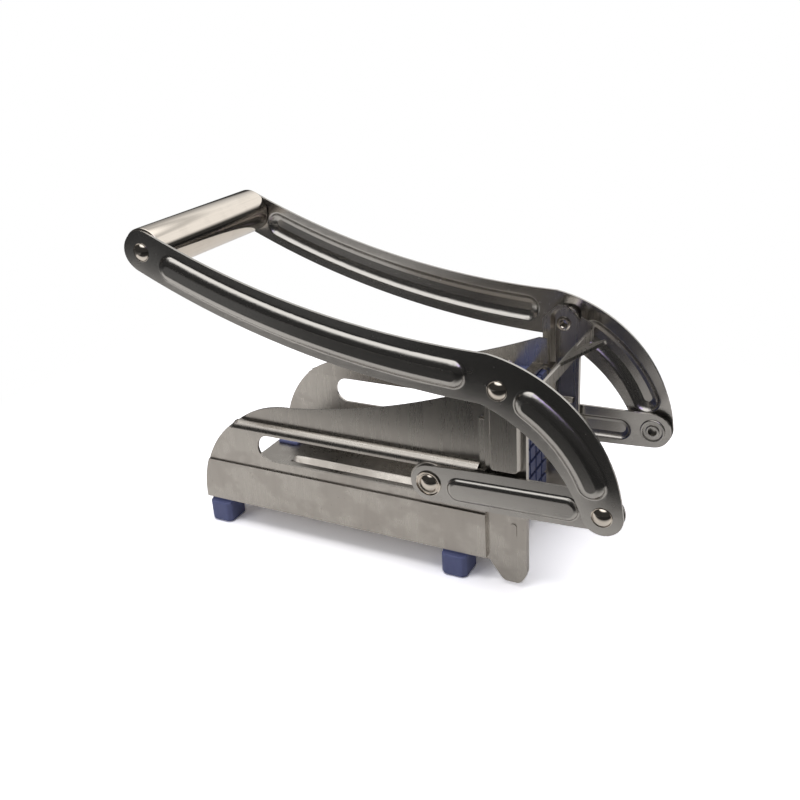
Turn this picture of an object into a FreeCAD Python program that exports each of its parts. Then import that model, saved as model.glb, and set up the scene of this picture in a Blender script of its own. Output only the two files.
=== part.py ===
"""Lever vegetable dicer of pressed stainless sheet, as a parametric FreeCAD document.

Frame: millimetres, +X towards the blades, +Z up, Y across, the origin on the surface it
stands on below the middle of its outline. Each sub-part is one labelled object, written to
parts/LABEL.step. Left is the -Y side and right the +Y side.
"""
import FreeCAD, Part
import math
import os
from FreeCAD import Rotation, Vector

SIZES = {
    # sheet metal and fits
    "sheet": 1.5,
    "clearance": 0.3,
    "running_fit": 0.05,
    # the linkage's four pins and the pusher's stroke
    "pivot_x": 76.1,
    "pivot_z": 110.5,
    "grip_x": -123.9,
    "grip_z": 161.0,
    "front_pin_x": 126.4,
    "front_pin_z": 54.7,
    "rear_pin_x": 36.5,
    "rear_pin_z": 52.5,
    "pusher_travel": 98.6,
    # lever arms
    "arm_gap": 97.0,
    "arm_grip_half": 11.5,
    "arm_rear_half": 12.0,
    "arm_knee_half": 12.8,
    "arm_front_half": 13.5,
    "arm_pin_half": 10.0,
    "arm_sag": 10.2,
    "arm_bulge": 12.0,
    "knee_back": 7.0,
    "knee_rise": 4.6,
    "rib_rise": 2.8,
    "rib_half": 7.2,
    "rib_draft": 1.8,
    "rear_rib_start": 18.5,
    "rear_rib_end": 22.4,
    "front_rib_start": 15.5,
    "front_rib_end": 5.0,
    # links
    "link_gap": 89.8,
    "link_eye_half": 9.7,
    "link_mid_half": 10.6,
    "link_rib_rise": 1.8,
    "link_rib_half": 6.2,
    "link_rib_drop": 1.1,
    "link_rib_start": 16.5,
    "link_rib_end": 18.0,
    # grip
    "grip_diameter": 25.0,
    "grip_wall": 1.3,
    "grip_cap_length": 4.0,
    "rod_diameter": 6.0,
    # rivets, axle, rollers, washers and eyelets
    "dome_diameter": 9.2,
    "dome_rise": 2.2,
    "head_taper": 0.6,
    "pivot_diameter": 6.0,
    "tail_diameter": 8.0,
    "tail_length": 1.0,
    "axle_diameter": 8.0,
    "axle_end_diameter": 7.0,
    "axle_dome_diameter": 10.6,
    "roller_diameter": 15.0,
    "roller_flange_diameter": 21.5,
    "roller_flange": 0.9,
    "eyelet_diameter": 7.0,
    "eyelet_bore": 3.0,
    "washer_diameter": 13.5,
    "washer_thickness": 1.0,
    # base tray and side walls
    "floor_z": 14.1,
    "wall_gap": 84.2,
    "wall_rear_x": -110.2,
    "wall_front_x": 66.1,
    "wall_arc_radius": 60.5,
    "wall_end_z": 105.1,
    "wall_dip": 4.6,
    "ledge_z": 65.5,
    "upper_gap": 72.0,
    "upper_lap": 4.5,
    "skirt_height": 25.3,
    "skirt_sheet": 1.2,
    # front frame
    "post_width": 21.0,
    "post_shift": 0.35,
    "post_lap": 4.0,
    "post_top_z": 122.2,
    "post_corner": 8.0,
    "post_lip": 1.8,
    "leg_rear_x": 67.6,
    "leg_bottom_z": 1.5,
    "leg_toe": 7.0,
    "panel_rise": 5.0,
    "panel_width": 13.5,
    "panel_bottom_z": 65.8,
    "panel_top_z": 121.3,
    "panel_draft": 1.2,
    "panel_shift": 1.2,
    "mark_length": 8.0,
    "mark_width": 3.2,
    "mark_rise": 0.4,
    "mark_ahead": 4.0,
    "mark_above": 18.0,
    "bridge_x": 93.6,
    "bridge_height": 6.2,
    "bridge_top_z": 111.2,
    "tab_reach": 19.6,
    "tab_rise": 10.3,
    "tab_root_half": 12.5,
    "tab_tip_half": 3.0,
    # blades and their cassette
    "cell": 9.0,
    "cell_count": 8,
    "blade_sheet": 0.6,
    "blade_depth": 5.0,
    "cassette_depth": 6.0,
    "cassette_z": 51.9,
    "cassette_border": 2.0,
    "lug_reach": 6.0,
    "lug_width": 10.0,
    # pusher
    "block_gap": 0.9,
    "peg_gap": 2.1,
    "peg_length": 8.5,
    "block_depth": 11.0,
    "cheek_gap": 70.8,
    "carriage_rear_x": 24.6,
    "cheek_half_height": 15.0,
    # feet
    "foot_length": 14.5,
    "foot_inner_y": 31.0,
    "foot_outer_y": 47.2,
    "foot_step": 1.6,
    "foot_round": 2.2,
    "foot_bevel": 0.9,
    "button_rise": 2.0,
    "button_outer_y": 41.8,
    "front_button_inner_y": 37.0,
    "rear_button_inner_y": 26.5,
    "neck_inset": 1.0,
    "rear_foot_x": -100.7,
    "front_foot_x": 48.4,
}

# Distance within which two places count as the same.
TOUCH = 0.01

doc = FreeCAD.newDocument("vegetable_dicer")
sheet = doc.addObject("Spreadsheet::Sheet", "Sizes")


def fill_sheet():
    """Write each driving dimension as a plain number with its alias."""
    for row, (alias, number) in enumerate(SIZES.items(), start=1):
        sheet.set(f"A{row}", alias)
        sheet.set(f"B{row}", str(number))
        sheet.setAlias(f"B{row}", alias)
    doc.recompute()


def size(alias):
    """Read one driving dimension from the spreadsheet."""
    return float(sheet.get(alias))


def value(expression):
    """Work out an expression on the spreadsheet's cells."""
    return float(sheet.evalExpression(expression))


fill_sheet()

# Derived places, as expressions on the sheet that objects are bound to.
MIDDLE = "0"
FIT = "Sizes.running_fit"
ARM_INNER = "(Sizes.arm_gap / 2)"
ARM_OUTER = f"({ARM_INNER} + Sizes.sheet)"
LINK_INNER = "(Sizes.link_gap / 2)"
LINK_OUTER = f"({LINK_INNER} + Sizes.sheet)"
WALL_INNER = "(Sizes.wall_gap / 2)"
WALL_OUTER = f"({WALL_INNER} + Sizes.sheet)"
UPPER_INNER = "(Sizes.upper_gap / 2)"
UPPER_OUTER = f"({UPPER_INNER} + Sizes.sheet)"
SKIRT_OUTER = f"({WALL_OUTER} + Sizes.skirt_sheet)"
POST_OUTER = WALL_INNER
POST_INNER = f"({POST_OUTER} - Sizes.sheet)"
PANEL_OUTER = f"({POST_OUTER} + Sizes.panel_rise)"
PANEL_BACK = f"({PANEL_OUTER} - Sizes.sheet)"
CHEEK_OUTER = "(Sizes.cheek_gap / 2)"
FLOOR_TOP = "(Sizes.floor_z + Sizes.sheet)"
LEDGE_BOTTOM = "(Sizes.ledge_z - Sizes.sheet)"
WINDOW = "(Sizes.cell * Sizes.cell_count)"
CASSETTE_HALF = f"({POST_INNER} - Sizes.clearance)"
CASSETTE_HALF_HEIGHT = f"({WINDOW} / 2 + Sizes.cassette_border)"
CASSETTE_BOTTOM = f"(Sizes.cassette_z - {CASSETTE_HALF_HEIGHT})"
CASSETTE_TOP = f"(Sizes.cassette_z + {CASSETTE_HALF_HEIGHT})"
CASSETTE_REAR = "(Sizes.wall_front_x - Sizes.post_lap)"
CASSETTE_FRONT = f"({CASSETTE_REAR} + Sizes.cassette_depth)"
BLADE_REAR = f"({CASSETTE_REAR} + (Sizes.cassette_depth - Sizes.blade_depth) / 2)"
FLOOR_FRONT = f"({CASSETTE_REAR} - Sizes.clearance)"
BLOCK_FRONT = FLOOR_FRONT
BLOCK_REAR = f"({BLOCK_FRONT} - Sizes.block_depth)"
BLOCK_HALF = f"({WINDOW} / 2 - Sizes.block_gap / 2)"
POST_REAR = "(Sizes.pivot_x - Sizes.post_width / 2 + Sizes.post_shift)"
POST_FRONT = f"({POST_REAR} + Sizes.post_width)"
LIP_INNER = f"({POST_INNER} - Sizes.post_lip)"
BRIDGE_BOTTOM = "(Sizes.bridge_top_z - Sizes.bridge_height)"

PIVOT = ("Sizes.pivot_x", "Sizes.pivot_z")
GRIP = ("Sizes.grip_x", "Sizes.grip_z")
FRONT_PIN = ("Sizes.front_pin_x", "Sizes.front_pin_z")
REAR_PIN = ("Sizes.rear_pin_x", "Sizes.rear_pin_z")


# ---- document objects bound to the sheet ----------------------------------------------


def bind(item, **expressions):
    """Bind an object's properties to expressions, with place_x to place_z for its position."""
    for name, expression in expressions.items():
        path = f".Placement.Base.{name[-1]}" if name.startswith("place_") else name
        item.setExpression(path, expression)
    return item


def block(name, low, high):
    """Box between two corners, each given as three expressions."""
    box = doc.addObject("Part::Box", name)
    spans = [f"({end}) - ({start})" for start, end in zip(low, high)]
    return bind(box, Length=spans[0], Width=spans[1], Height=spans[2],
                place_x=low[0], place_y=low[1], place_z=low[2])


def bar(name, centre, diameter, inner, outer):
    """Round bar across the dicer between two distances from the middle plane."""
    cylinder = doc.addObject("Part::Cylinder", name)
    cylinder.Placement.Rotation = Rotation(Vector(1, 0, 0), -90)
    return bind(cylinder, Radius=f"({diameter}) / 2", Height=f"({outer}) - ({inner})",
                place_x=centre[0], place_y=inner, place_z=centre[1])


def fuse(name, *parts):
    """Join objects into one solid."""
    joined = doc.addObject("Part::MultiFuse", name)
    joined.Shapes = list(parts)
    joined.Refine = True
    return joined


def cut(name, base, *tools):
    """Cut one or more objects out of a base."""
    tool = tools[0] if len(tools) == 1 else fuse(f"{name}_waste", *tools)
    remainder = doc.addObject("Part::Cut", name)
    remainder.Base = base
    remainder.Tool = tool
    remainder.Refine = True
    return remainder


def mirror(name, source):
    """Mirror image of an object about the middle plane."""
    image = doc.addObject("Part::Mirroring", name)
    image.Source = source
    image.Normal = Vector(0, 1, 0)
    return image


def both_sides(name, right):
    """Group of a right-hand piece and its mirror image, as separate solids."""
    group = doc.addObject("Part::Compound", name)
    group.Links = [mirror(f"{name}_left", right), right]
    return group


def ring(name, centre, diameter, bore, inner, outer):
    """Washer or tube across the dicer between two distances from the middle plane."""
    body = bar(f"{name}_body", centre, diameter, inner, outer)
    hole = bar(f"{name}_bore", centre, bore, inner, outer)
    return cut(name, body, hole)


def head(name, centre, diameter, seat):
    """Raised rivet head, tapered to its top, on a seat at a distance from the middle plane."""
    taper = doc.addObject("Part::Cone", name)
    taper.Placement.Rotation = Rotation(Vector(1, 0, 0), -90)
    return bind(taper, Radius1=f"({diameter}) / 2", Radius2=f"({diameter}) / 2 * Sizes.head_taper",
                Height="Sizes.dome_rise", place_x=centre[0], place_y=seat, place_z=centre[1])


def add_feature(name, shape):
    """Add a finished sheet-metal shape to the document."""
    feature = doc.addObject("Part::Feature", name)
    feature.Shape = shape
    feature.Placement = shape.Placement
    return feature


# ---- outlines in the X-Z plane --------------------------------------------------------


def point(x, z, y=0.0):
    """Place an outline point given in the X-Z plane."""
    return Vector(x, y, z)


def arc(start, via, end):
    """Edge of the circular arc through three (x, z) points."""
    return Part.Arc(point(*start), point(*via), point(*end)).toShape()


def line(start, end):
    """Edge of the straight line between two (x, z) points."""
    return Part.makeLine(point(*start), point(*end))


def path(*points):
    """Edges of the straight lines through (x, z) points."""
    return [line(start, end) for start, end in zip(points, points[1:])]


def corner(centre, radius, start_degrees):
    """Quarter-round edge about a centre, clockwise from an angle."""
    places = []
    for turn in (0, 45, 90):
        angle = math.radians(start_degrees - turn)
        places.append((centre[0] + radius * math.cos(angle), centre[1] + radius * math.sin(angle)))
    return arc(*places)


def place(axis):
    """Numbers of an axis's two expressions."""
    return value(axis[0]), value(axis[1])


def plate(wire, inner, outer):
    """Extrude an X-Z outline between two distances from the middle plane."""
    face = Part.Face(wire)
    face.translate(Vector(0, value(inner), 0))
    return face.extrude(Vector(0, value(outer) - value(inner), 0))


def hole(axis, diameter, inner, outer):
    """Round tool for a hole across the sheet, wider than its shaft by the running fit."""
    radius = value(f"({diameter}) / 2 + {FIT}")
    start = point(*place(axis), value(inner))
    return Part.makeCylinder(radius, value(outer) - value(inner), start, Vector(0, 1, 0))


def towards(start, goal, distance):
    """Point a distance from one (x, z) point in the direction of another."""
    dx, dz = goal[0] - start[0], goal[1] - start[1]
    length = math.hypot(dx, dz)
    return start[0] + dx * distance / length, start[1] + dz * distance / length


def midpoint(first, second):
    """Point halfway between two (x, z) points."""
    return (first[0] + second[0]) / 2, (first[1] + second[1]) / 2


def straight_slot(start_x, end_x, half, middle_z=0.0):
    """Closed straight slot along X with round ends."""
    low, high = middle_z - half, middle_z + half
    return Part.Wire([
        line((start_x, high), (end_x, high)),
        arc((end_x, high), (end_x + half, middle_z), (end_x, low)),
        line((end_x, low), (start_x, low)),
        arc((start_x, low), (start_x - half, middle_z), (start_x, high)),
    ])


class Spine:
    """Circular centre line through three (x, z) points, with offsets to its two sides."""

    def __init__(self, start, via, end):
        self.points = (start, via, end)
        circle = arc(start, via, end).Curve
        self.centre = (circle.Center.x, circle.Center.z)
        self.radius = circle.Radius

    def offset(self, spot, distance):
        """Point beside a point of the spine, positive away from the circle's centre."""
        return towards(spot, self.centre, -distance)

    def at_x(self, x):
        """Point of the spine at one x, on the branch of its middle point."""
        branch = 1 if self.points[1][1] > self.centre[1] else -1
        return x, self.centre[1] + branch * math.sqrt(self.radius ** 2 - (x - self.centre[0]) ** 2)

    def ahead(self, spot, distance):
        """Point a distance along the tangent at a point, towards larger x."""
        dx, dz = spot[0] - self.centre[0], spot[1] - self.centre[1]
        step = distance / self.radius * math.copysign(1, dz)
        return spot[0] + dz * step, spot[1] - dx * step

    def edge(self, halves, side):
        """Three points beside the spine at three half widths, on side +1 or -1 of it."""
        return [self.offset(spot, side * half) for spot, half in zip(self.points, halves)]

    def slot(self, start_x, end_x, half):
        """Closed curved slot with round ends, centred on the spine."""
        ends = (self.at_x(start_x), self.at_x((start_x + end_x) / 2), self.at_x(end_x))
        outer = [self.offset(spot, half) for spot in ends]
        inner = [self.offset(spot, -half) for spot in ends]
        return Part.Wire([
            arc(*outer),
            arc(outer[2], self.ahead(ends[2], half), inner[2]),
            arc(*reversed(inner)),
            arc(inner[0], self.ahead(ends[0], -half), outer[0]),
        ])


def lofted(outline_at, low, high):
    """Solid between an outline at two insets and distances from the middle plane."""
    wires = []
    for inset, distance in (low, high):
        wire = outline_at(inset)
        wire.translate(Vector(0, distance, 0))
        wires.append(wire)
    return Part.makeLoft(wires, True, True)


def press(shape, outline_at, seat, rise, draft):
    """Press a drafted raised area out of a sheet, leaving the hollow behind it.

    outline_at makes the area's wire for an inset. seat is the sheet's outer face.
    """
    thickness = size("sheet")
    slope = draft / rise
    wall = 0.8 * thickness
    raised = lofted(outline_at, (0, seat), (draft, seat + rise))
    hollow = lofted(outline_at, (wall - slope * thickness, seat - thickness),
                    (wall + slope * (rise - thickness), seat + rise - thickness))
    return shape.fuse(raised).cut(hollow)


# ---- lever arms ----------------------------------------------------------------------


def arm_spines():
    """Rear and front centre lines of a lever arm, which meet at its knee by the pivot."""
    grip, pivot, pin = place(GRIP), place(PIVOT), place(FRONT_PIN)
    knee = (pivot[0] - size("knee_back"), pivot[1] + size("knee_rise"))
    rear_middle = midpoint(grip, knee)
    sagged = (rear_middle[0], rear_middle[1] - size("arm_sag"))
    chord = math.dist(knee, pin)
    normal = ((knee[1] - pin[1]) / chord, (pin[0] - knee[0]) / chord)
    front_middle = midpoint(knee, pin)
    bulged = (front_middle[0] + size("arm_bulge") * normal[0],
              front_middle[1] + size("arm_bulge") * normal[1])
    return Spine(grip, sagged, knee), Spine(knee, bulged, pin)


def arm_outline(rear, front):
    """Outline of a lever arm: round ends, a gentle upward sweep and a bent-down front."""
    rear_halves = (size("arm_grip_half"), size("arm_rear_half"), size("arm_knee_half"))
    front_halves = (size("arm_knee_half"), size("arm_front_half"), size("arm_pin_half"))
    rear_top, rear_low = rear.edge(rear_halves, -1), rear.edge(rear_halves, 1)
    front_top, front_low = front.edge(front_halves, 1), front.edge(front_halves, -1)
    knee_top = midpoint(rear_top[2], front_top[0])
    knee_low = midpoint(rear_low[2], front_low[0])
    return Part.Wire([
        arc(rear_top[0], rear_top[1], knee_top),
        arc(knee_top, front_top[1], front_top[2]),
        arc(front_top[2], front.ahead(place(FRONT_PIN), size("arm_pin_half")), front_low[2]),
        arc(front_low[2], front_low[1], knee_low),
        arc(knee_low, rear_low[1], rear_low[0]),
        arc(rear_low[0], rear.ahead(place(GRIP), -size("arm_grip_half")), rear_top[0]),
    ])


def lever_arm():
    """Pressed lever arm with two raised ribs and holes for rod, pivot and front rivet."""
    rear, front = arm_spines()
    arm = plate(arm_outline(rear, front), ARM_INNER, ARM_OUTER)
    runs = (
        (rear, size("grip_x") + size("rear_rib_start"), size("pivot_x") - size("rear_rib_end")),
        (front, size("pivot_x") + size("front_rib_start"), size("front_pin_x") - size("front_rib_end")),
    )
    for spine, start_x, end_x in runs:
        def outline_at(inset, spine=spine, start_x=start_x, end_x=end_x):
            return spine.slot(start_x, end_x, size("rib_half") - inset)
        arm = press(arm, outline_at, value(ARM_OUTER), size("rib_rise"), size("rib_draft"))
    for axis, diameter in ((GRIP, "Sizes.rod_diameter"), (PIVOT, "Sizes.pivot_diameter"),
                           (FRONT_PIN, "Sizes.pivot_diameter")):
        arm = arm.cut(hole(axis, diameter, ARM_INNER, ARM_OUTER))
    return add_feature("right_lever_arm", arm)


# ---- links ---------------------------------------------------------------------------


def link():
    """Pressed link from the pusher's axle to the arm's front rivet, with one raised rib."""
    rear_pin, front_pin = place(REAR_PIN), place(FRONT_PIN)
    length = math.dist(rear_pin, front_pin)
    eye = size("link_eye_half")
    mid = size("link_mid_half")
    plain = plate(Part.Wire([
        arc((0, eye), (length / 2, mid), (length, eye)),
        arc((length, eye), (length + eye, 0), (length, -eye)),
        arc((length, -eye), (length / 2, -mid), (0, -eye)),
        arc((0, -eye), (-eye, 0), (0, eye)),
    ]), LINK_INNER, LINK_OUTER)

    def outline_at(inset):
        half = size("link_rib_half") - inset
        return straight_slot(size("link_rib_start"), length - size("link_rib_end"), half,
                             -size("link_rib_drop"))

    rise = size("link_rib_rise")
    pressed = press(plain, outline_at, value(LINK_OUTER), rise, 0.6 * rise)
    tilt = math.degrees(math.atan2(front_pin[1] - rear_pin[1], front_pin[0] - rear_pin[0]))
    pressed.rotate(Vector(0, 0, 0), Vector(0, 1, 0), -tilt)
    pressed.translate(point(*rear_pin))
    pressed = pressed.cut(hole(REAR_PIN, "Sizes.axle_end_diameter", LINK_INNER, LINK_OUTER))
    pressed = pressed.cut(hole(FRONT_PIN, "Sizes.eyelet_diameter", LINK_INNER, LINK_OUTER))
    return add_feature("right_link", pressed)


def link_eyelet():
    """Flanged eyelet through the link's front eye, with a washer flange on each face."""
    tail = f"({LINK_INNER} - Sizes.washer_thickness)"
    face = f"({ARM_INNER} - Sizes.clearance)"
    barrel = bar("eyelet_barrel", FRONT_PIN, "Sizes.eyelet_diameter", tail, face)
    inner = bar("eyelet_inner_flange", FRONT_PIN, "Sizes.washer_diameter", tail, LINK_INNER)
    outer = bar("eyelet_outer_flange", FRONT_PIN, "Sizes.washer_diameter", LINK_OUTER, face)
    bore = bar("eyelet_hollow", FRONT_PIN, "Sizes.eyelet_bore", tail, face)
    return cut("right_link_eyelet", fuse("eyelet_solid", barrel, inner, outer), bore)


# ---- walls and base ------------------------------------------------------------------


class RearArc:
    """Rounded rear edge that the walls and the tray's skirts share."""

    def __init__(self):
        self.radius = size("wall_arc_radius")
        self.centre = (size("wall_rear_x") + self.radius, value(FLOOR_TOP))
        self.foot = (size("wall_rear_x"), self.centre[1])
        self.crown = (self.centre[0], self.centre[1] + self.radius)

    def at_height(self, height):
        """Point of the arc at one height."""
        drop = self.radius ** 2 - (height - self.centre[1]) ** 2
        return self.centre[0] - math.sqrt(drop), height

    def between(self, start, end):
        """Edge of the arc between two of its points."""
        middle = midpoint(start, end)
        return arc(start, towards(self.centre, middle, self.radius), end)


def side_wall():
    """Side wall: slotted lower panel, inward shoulder and upper panel, bent from one sheet."""
    rear = RearArc()
    front_x = size("wall_front_x")
    short_x = value(FLOOR_FRONT)
    floor_top, shoulder, under = value(FLOOR_TOP), size("ledge_z"), value(LEDGE_BOTTOM)
    notch_z = under - size("clearance")
    shoulder_rear = rear.at_height(shoulder)
    lower = plate(Part.Wire(
        [rear.between(rear.foot, shoulder_rear)]
        + path(shoulder_rear, (short_x, shoulder), (short_x, notch_z), (front_x, notch_z),
               (front_x, floor_top), rear.foot)), WALL_INNER, WALL_OUTER)
    top_front = (front_x - size("clearance"), size("wall_end_z"))
    dip = midpoint(rear.crown, top_front)
    dip = (dip[0], dip[1] - size("wall_dip"))
    over_cassette = value(CASSETTE_TOP) + size("clearance")
    end_x = front_x + size("upper_lap")
    upper_rear = rear.at_height(under)
    upper = plate(Part.Wire(
        [rear.between(upper_rear, rear.crown), arc(rear.crown, dip, top_front)]
        + path(top_front, (end_x, top_front[1]), (end_x, over_cassette), (short_x, over_cassette),
               (short_x, under), upper_rear)), UPPER_INNER, UPPER_OUTER)
    ledge = Part.makeBox(short_x - shoulder_rear[0], value(WALL_OUTER) - value(UPPER_INNER),
                         size("sheet"), Vector(shoulder_rear[0], value(UPPER_INNER), under))
    wall = lower.fuse([ledge, upper]).removeSplitter()
    half = size("roller_diameter") / 2 + size("clearance")
    slot = straight_slot(size("rear_pin_x") - size("pusher_travel"), size("rear_pin_x"), half,
                         size("rear_pin_z"))
    wall = wall.cut(plate(slot, WALL_INNER, WALL_OUTER))
    return add_feature("right_side_wall", round_bend(wall, value(WALL_OUTER), shoulder, 0.9))


def round_bend(shape, distance, height, share):
    """Round the long bend at one distance from the middle plane and one height."""
    bends = []
    for edge in shape.Edges:
        bounds = edge.BoundBox
        level = abs(bounds.ZMin - height) < TOUCH and bounds.ZLength < TOUCH
        outside = abs(abs(bounds.YMin) - distance) < TOUCH and bounds.YLength < TOUCH
        if level and outside and bounds.XLength > size("cell") * 4:
            bends.append(edge)
    return shape.makeFillet(size("sheet") * share, bends)


def base_tray(feet_holes):
    """Base tray: floor with upturned skirts outside both walls and holes for the feet."""
    rear_x, front_x = "Sizes.wall_rear_x", "Sizes.wall_front_x"
    skirt_top = "Sizes.floor_z + Sizes.skirt_height"
    blank = block("tray_blank", (rear_x, f"-{SKIRT_OUTER}", "Sizes.floor_z"),
                  (front_x, SKIRT_OUTER, skirt_top))
    inside = block("tray_inside", (rear_x, f"-{WALL_OUTER}", FLOOR_TOP),
                   (front_x, WALL_OUTER, skirt_top))
    front_gap = block("tray_front_gap", (FLOOR_FRONT, f"-{WALL_INNER}", "Sizes.floor_z"),
                      (front_x, WALL_INNER, FLOOR_TOP))
    trim = add_feature("tray_rear_trim", rear_trim())
    return cut("base_tray", blank, inside, front_gap, trim, *feet_holes)


def rear_trim():
    """Waste behind the rounded rear edge of the skirts."""
    rear = RearArc()
    top = rear.at_height(size("floor_z") + size("skirt_height"))
    behind_x = rear.foot[0] - size("sheet")
    outline = Part.Wire([rear.between(rear.foot, top)]
                        + path(top, (behind_x, top[1]), (behind_x, rear.foot[1]), rear.foot))
    return plate(outline, f"-{SKIRT_OUTER}", SKIRT_OUTER)


# ---- front frame ---------------------------------------------------------------------


def post_outline():
    """Outline of a post: cut top corners, the wing to the bridge and the tapered leg."""
    rear_x, front_x = value(POST_REAR), value(POST_FRONT)
    lap_x, leg_x, wing_x = value(CASSETTE_REAR), size("leg_rear_x"), size("bridge_x")
    top, cut_back = size("post_top_z"), size("post_corner")
    bridge_top, bridge_low = size("bridge_top_z"), value(BRIDGE_BOTTOM)
    leg_low, toe = size("leg_bottom_z"), size("leg_toe")
    sill_low = value(f"{CASSETTE_BOTTOM} - Sizes.sheet")
    notch_z = value(f"{LEDGE_BOTTOM} - 2 * Sizes.clearance")
    return Part.makePolygon([point(*spot) for spot in (
        (front_x - toe / 2, leg_low), (front_x, leg_low + toe * 0.8),
        (front_x, bridge_low - toe), (wing_x, bridge_low), (wing_x, bridge_top + toe / 4),
        (front_x, bridge_top + toe * 0.8), (front_x, top - cut_back), (front_x - cut_back, top),
        (rear_x + cut_back, top), (rear_x, top - cut_back), (rear_x, notch_z), (lap_x, notch_z),
        (lap_x, sill_low), (leg_x, sill_low), (leg_x, leg_low + toe * 1.4),
        (leg_x + toe, leg_low), (front_x - toe / 2, leg_low))])


def panel_outline(inset):
    """Outline of the raised pivot panel: rounded top and small bottom corners."""
    half = size("panel_width") / 2 + size("panel_draft") - inset
    middle = size("pivot_x") + size("panel_shift")
    low, high = size("panel_bottom_z") + inset, size("panel_top_z") - inset
    left, right = middle - half, middle + half
    big, small = 0.8 * half, 0.25 * half
    return Part.Wire([
        line((left, low + small), (left, high - big)),
        corner((left + big, high - big), big, 180),
        line((left + big, high), (right - big, high)),
        corner((right - big, high - big), big, 90),
        line((right, high - big), (right, low + small)),
        corner((right - small, low + small), small, 0),
        line((right - small, low), (left + small, low)),
        corner((left + small, low + small), small, -90),
    ])


def post():
    """Right-hand post: flange with its front lip, raised pivot panel, mark and leg."""
    flange = plate(post_outline(), POST_INNER, POST_OUTER)
    lip_low = size("leg_bottom_z") + size("leg_toe")
    lip_high = value(BRIDGE_BOTTOM) - size("leg_toe")
    lip = Part.makeBox(size("sheet"), value(POST_OUTER) - value(LIP_INNER), lip_high - lip_low,
                       Vector(value(POST_FRONT) - size("sheet"), value(LIP_INNER), lip_low))
    mark_half = size("mark_width") / 2
    mark = straight_slot(mark_half - size("mark_length") / 2, size("mark_length") / 2 - mark_half,
                         mark_half)
    mark.rotate(Vector(0, 0, 0), Vector(0, 1, 0), 90)
    mark.translate(Vector(size("pivot_x") + size("mark_ahead"), 0,
                          size("floor_z") + size("mark_above")))
    raised_mark = plate(mark, POST_INNER, f"{POST_OUTER} + Sizes.mark_rise")
    flange = flange.fuse([lip, raised_mark])
    flange = press(flange, panel_outline, value(POST_OUTER), size("panel_rise"), size("panel_draft"))
    return flange.cut(hole(PIVOT, "Sizes.pivot_diameter", POST_INNER, PANEL_OUTER))


def bridge_tab():
    """Tapered tab with a rounded tip, bent forward and up from the bridge."""
    reach, rise = size("tab_reach"), size("tab_rise")
    root, tip = size("tab_root_half"), size("tab_tip_half")
    length = math.hypot(reach, rise)
    shoulder = length - tip
    outline = Part.Wire([
        Part.makeLine(Vector(0, -root, 0), Vector(shoulder, -tip, 0)),
        Part.Arc(Vector(shoulder, -tip, 0), Vector(length, 0, 0), Vector(shoulder, tip, 0)).toShape(),
        Part.makeLine(Vector(shoulder, tip, 0), Vector(0, root, 0)),
        Part.makeLine(Vector(0, root, 0), Vector(0, -root, 0)),
    ])
    tab = Part.Face(outline).extrude(Vector(0, 0, size("sheet")))
    tab.rotate(Vector(0, 0, 0), Vector(0, 1, 0), -math.degrees(math.atan2(rise, reach)))
    tab.translate(Vector(size("bridge_x") - size("sheet") / 2, 0, size("bridge_top_z") - size("sheet")))
    return tab


def front_frame():
    """Front frame: two posts joined by the sill under the blades and the bridge above."""
    right = add_feature("right_post", post())
    left = mirror("left_post", right)
    bridge = block("bridge", ("Sizes.bridge_x - Sizes.sheet", f"-{POST_OUTER}", BRIDGE_BOTTOM),
                   ("Sizes.bridge_x", POST_OUTER, "Sizes.bridge_top_z"))
    sill = block("sill", (CASSETTE_REAR, f"-{POST_INNER}", f"{CASSETTE_BOTTOM} - Sizes.sheet"),
                 (CASSETTE_FRONT, POST_INNER, CASSETTE_BOTTOM))
    return fuse("front_frame", left, right, bridge, sill, add_feature("tab", bridge_tab()))


# ---- cassette and blades -------------------------------------------------------------


def cassette_frame():
    """Blade cassette: a bordered square frame with a forward lug at each top corner."""
    blank = block("cassette_blank", (CASSETTE_REAR, f"-{CASSETTE_HALF}", CASSETTE_BOTTOM),
                  (CASSETTE_FRONT, CASSETTE_HALF, CASSETTE_TOP))
    window = block("cassette_window", (CASSETTE_REAR, f"-{WINDOW} / 2", f"Sizes.cassette_z - {WINDOW} / 2"),
                   (CASSETTE_FRONT, f"{WINDOW} / 2", f"Sizes.cassette_z + {WINDOW} / 2"))
    lug = add_feature("cassette_lug", lug_shape())
    return fuse("cassette_frame", cut("cassette_border_frame", blank, window), lug,
                mirror("cassette_lug_left", lug))


def lug_shape():
    """Forward lug at the cassette's top right corner, cut slantwise on its inner side."""
    back, front = value(CASSETTE_FRONT) - size("sheet"), value(CASSETTE_FRONT) + size("lug_reach")
    outer = value(CASSETTE_HALF)
    inner = outer - size("lug_width")
    low = value(CASSETTE_TOP) - size("sheet")
    corners = [(back, outer), (front, outer), (front, inner), (back, inner + size("lug_reach"))]
    outline = Part.makePolygon([Vector(x, y, low) for x, y in corners + corners[:1]])
    return Part.Face(outline).extrude(Vector(0, 0, size("sheet")))


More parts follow.
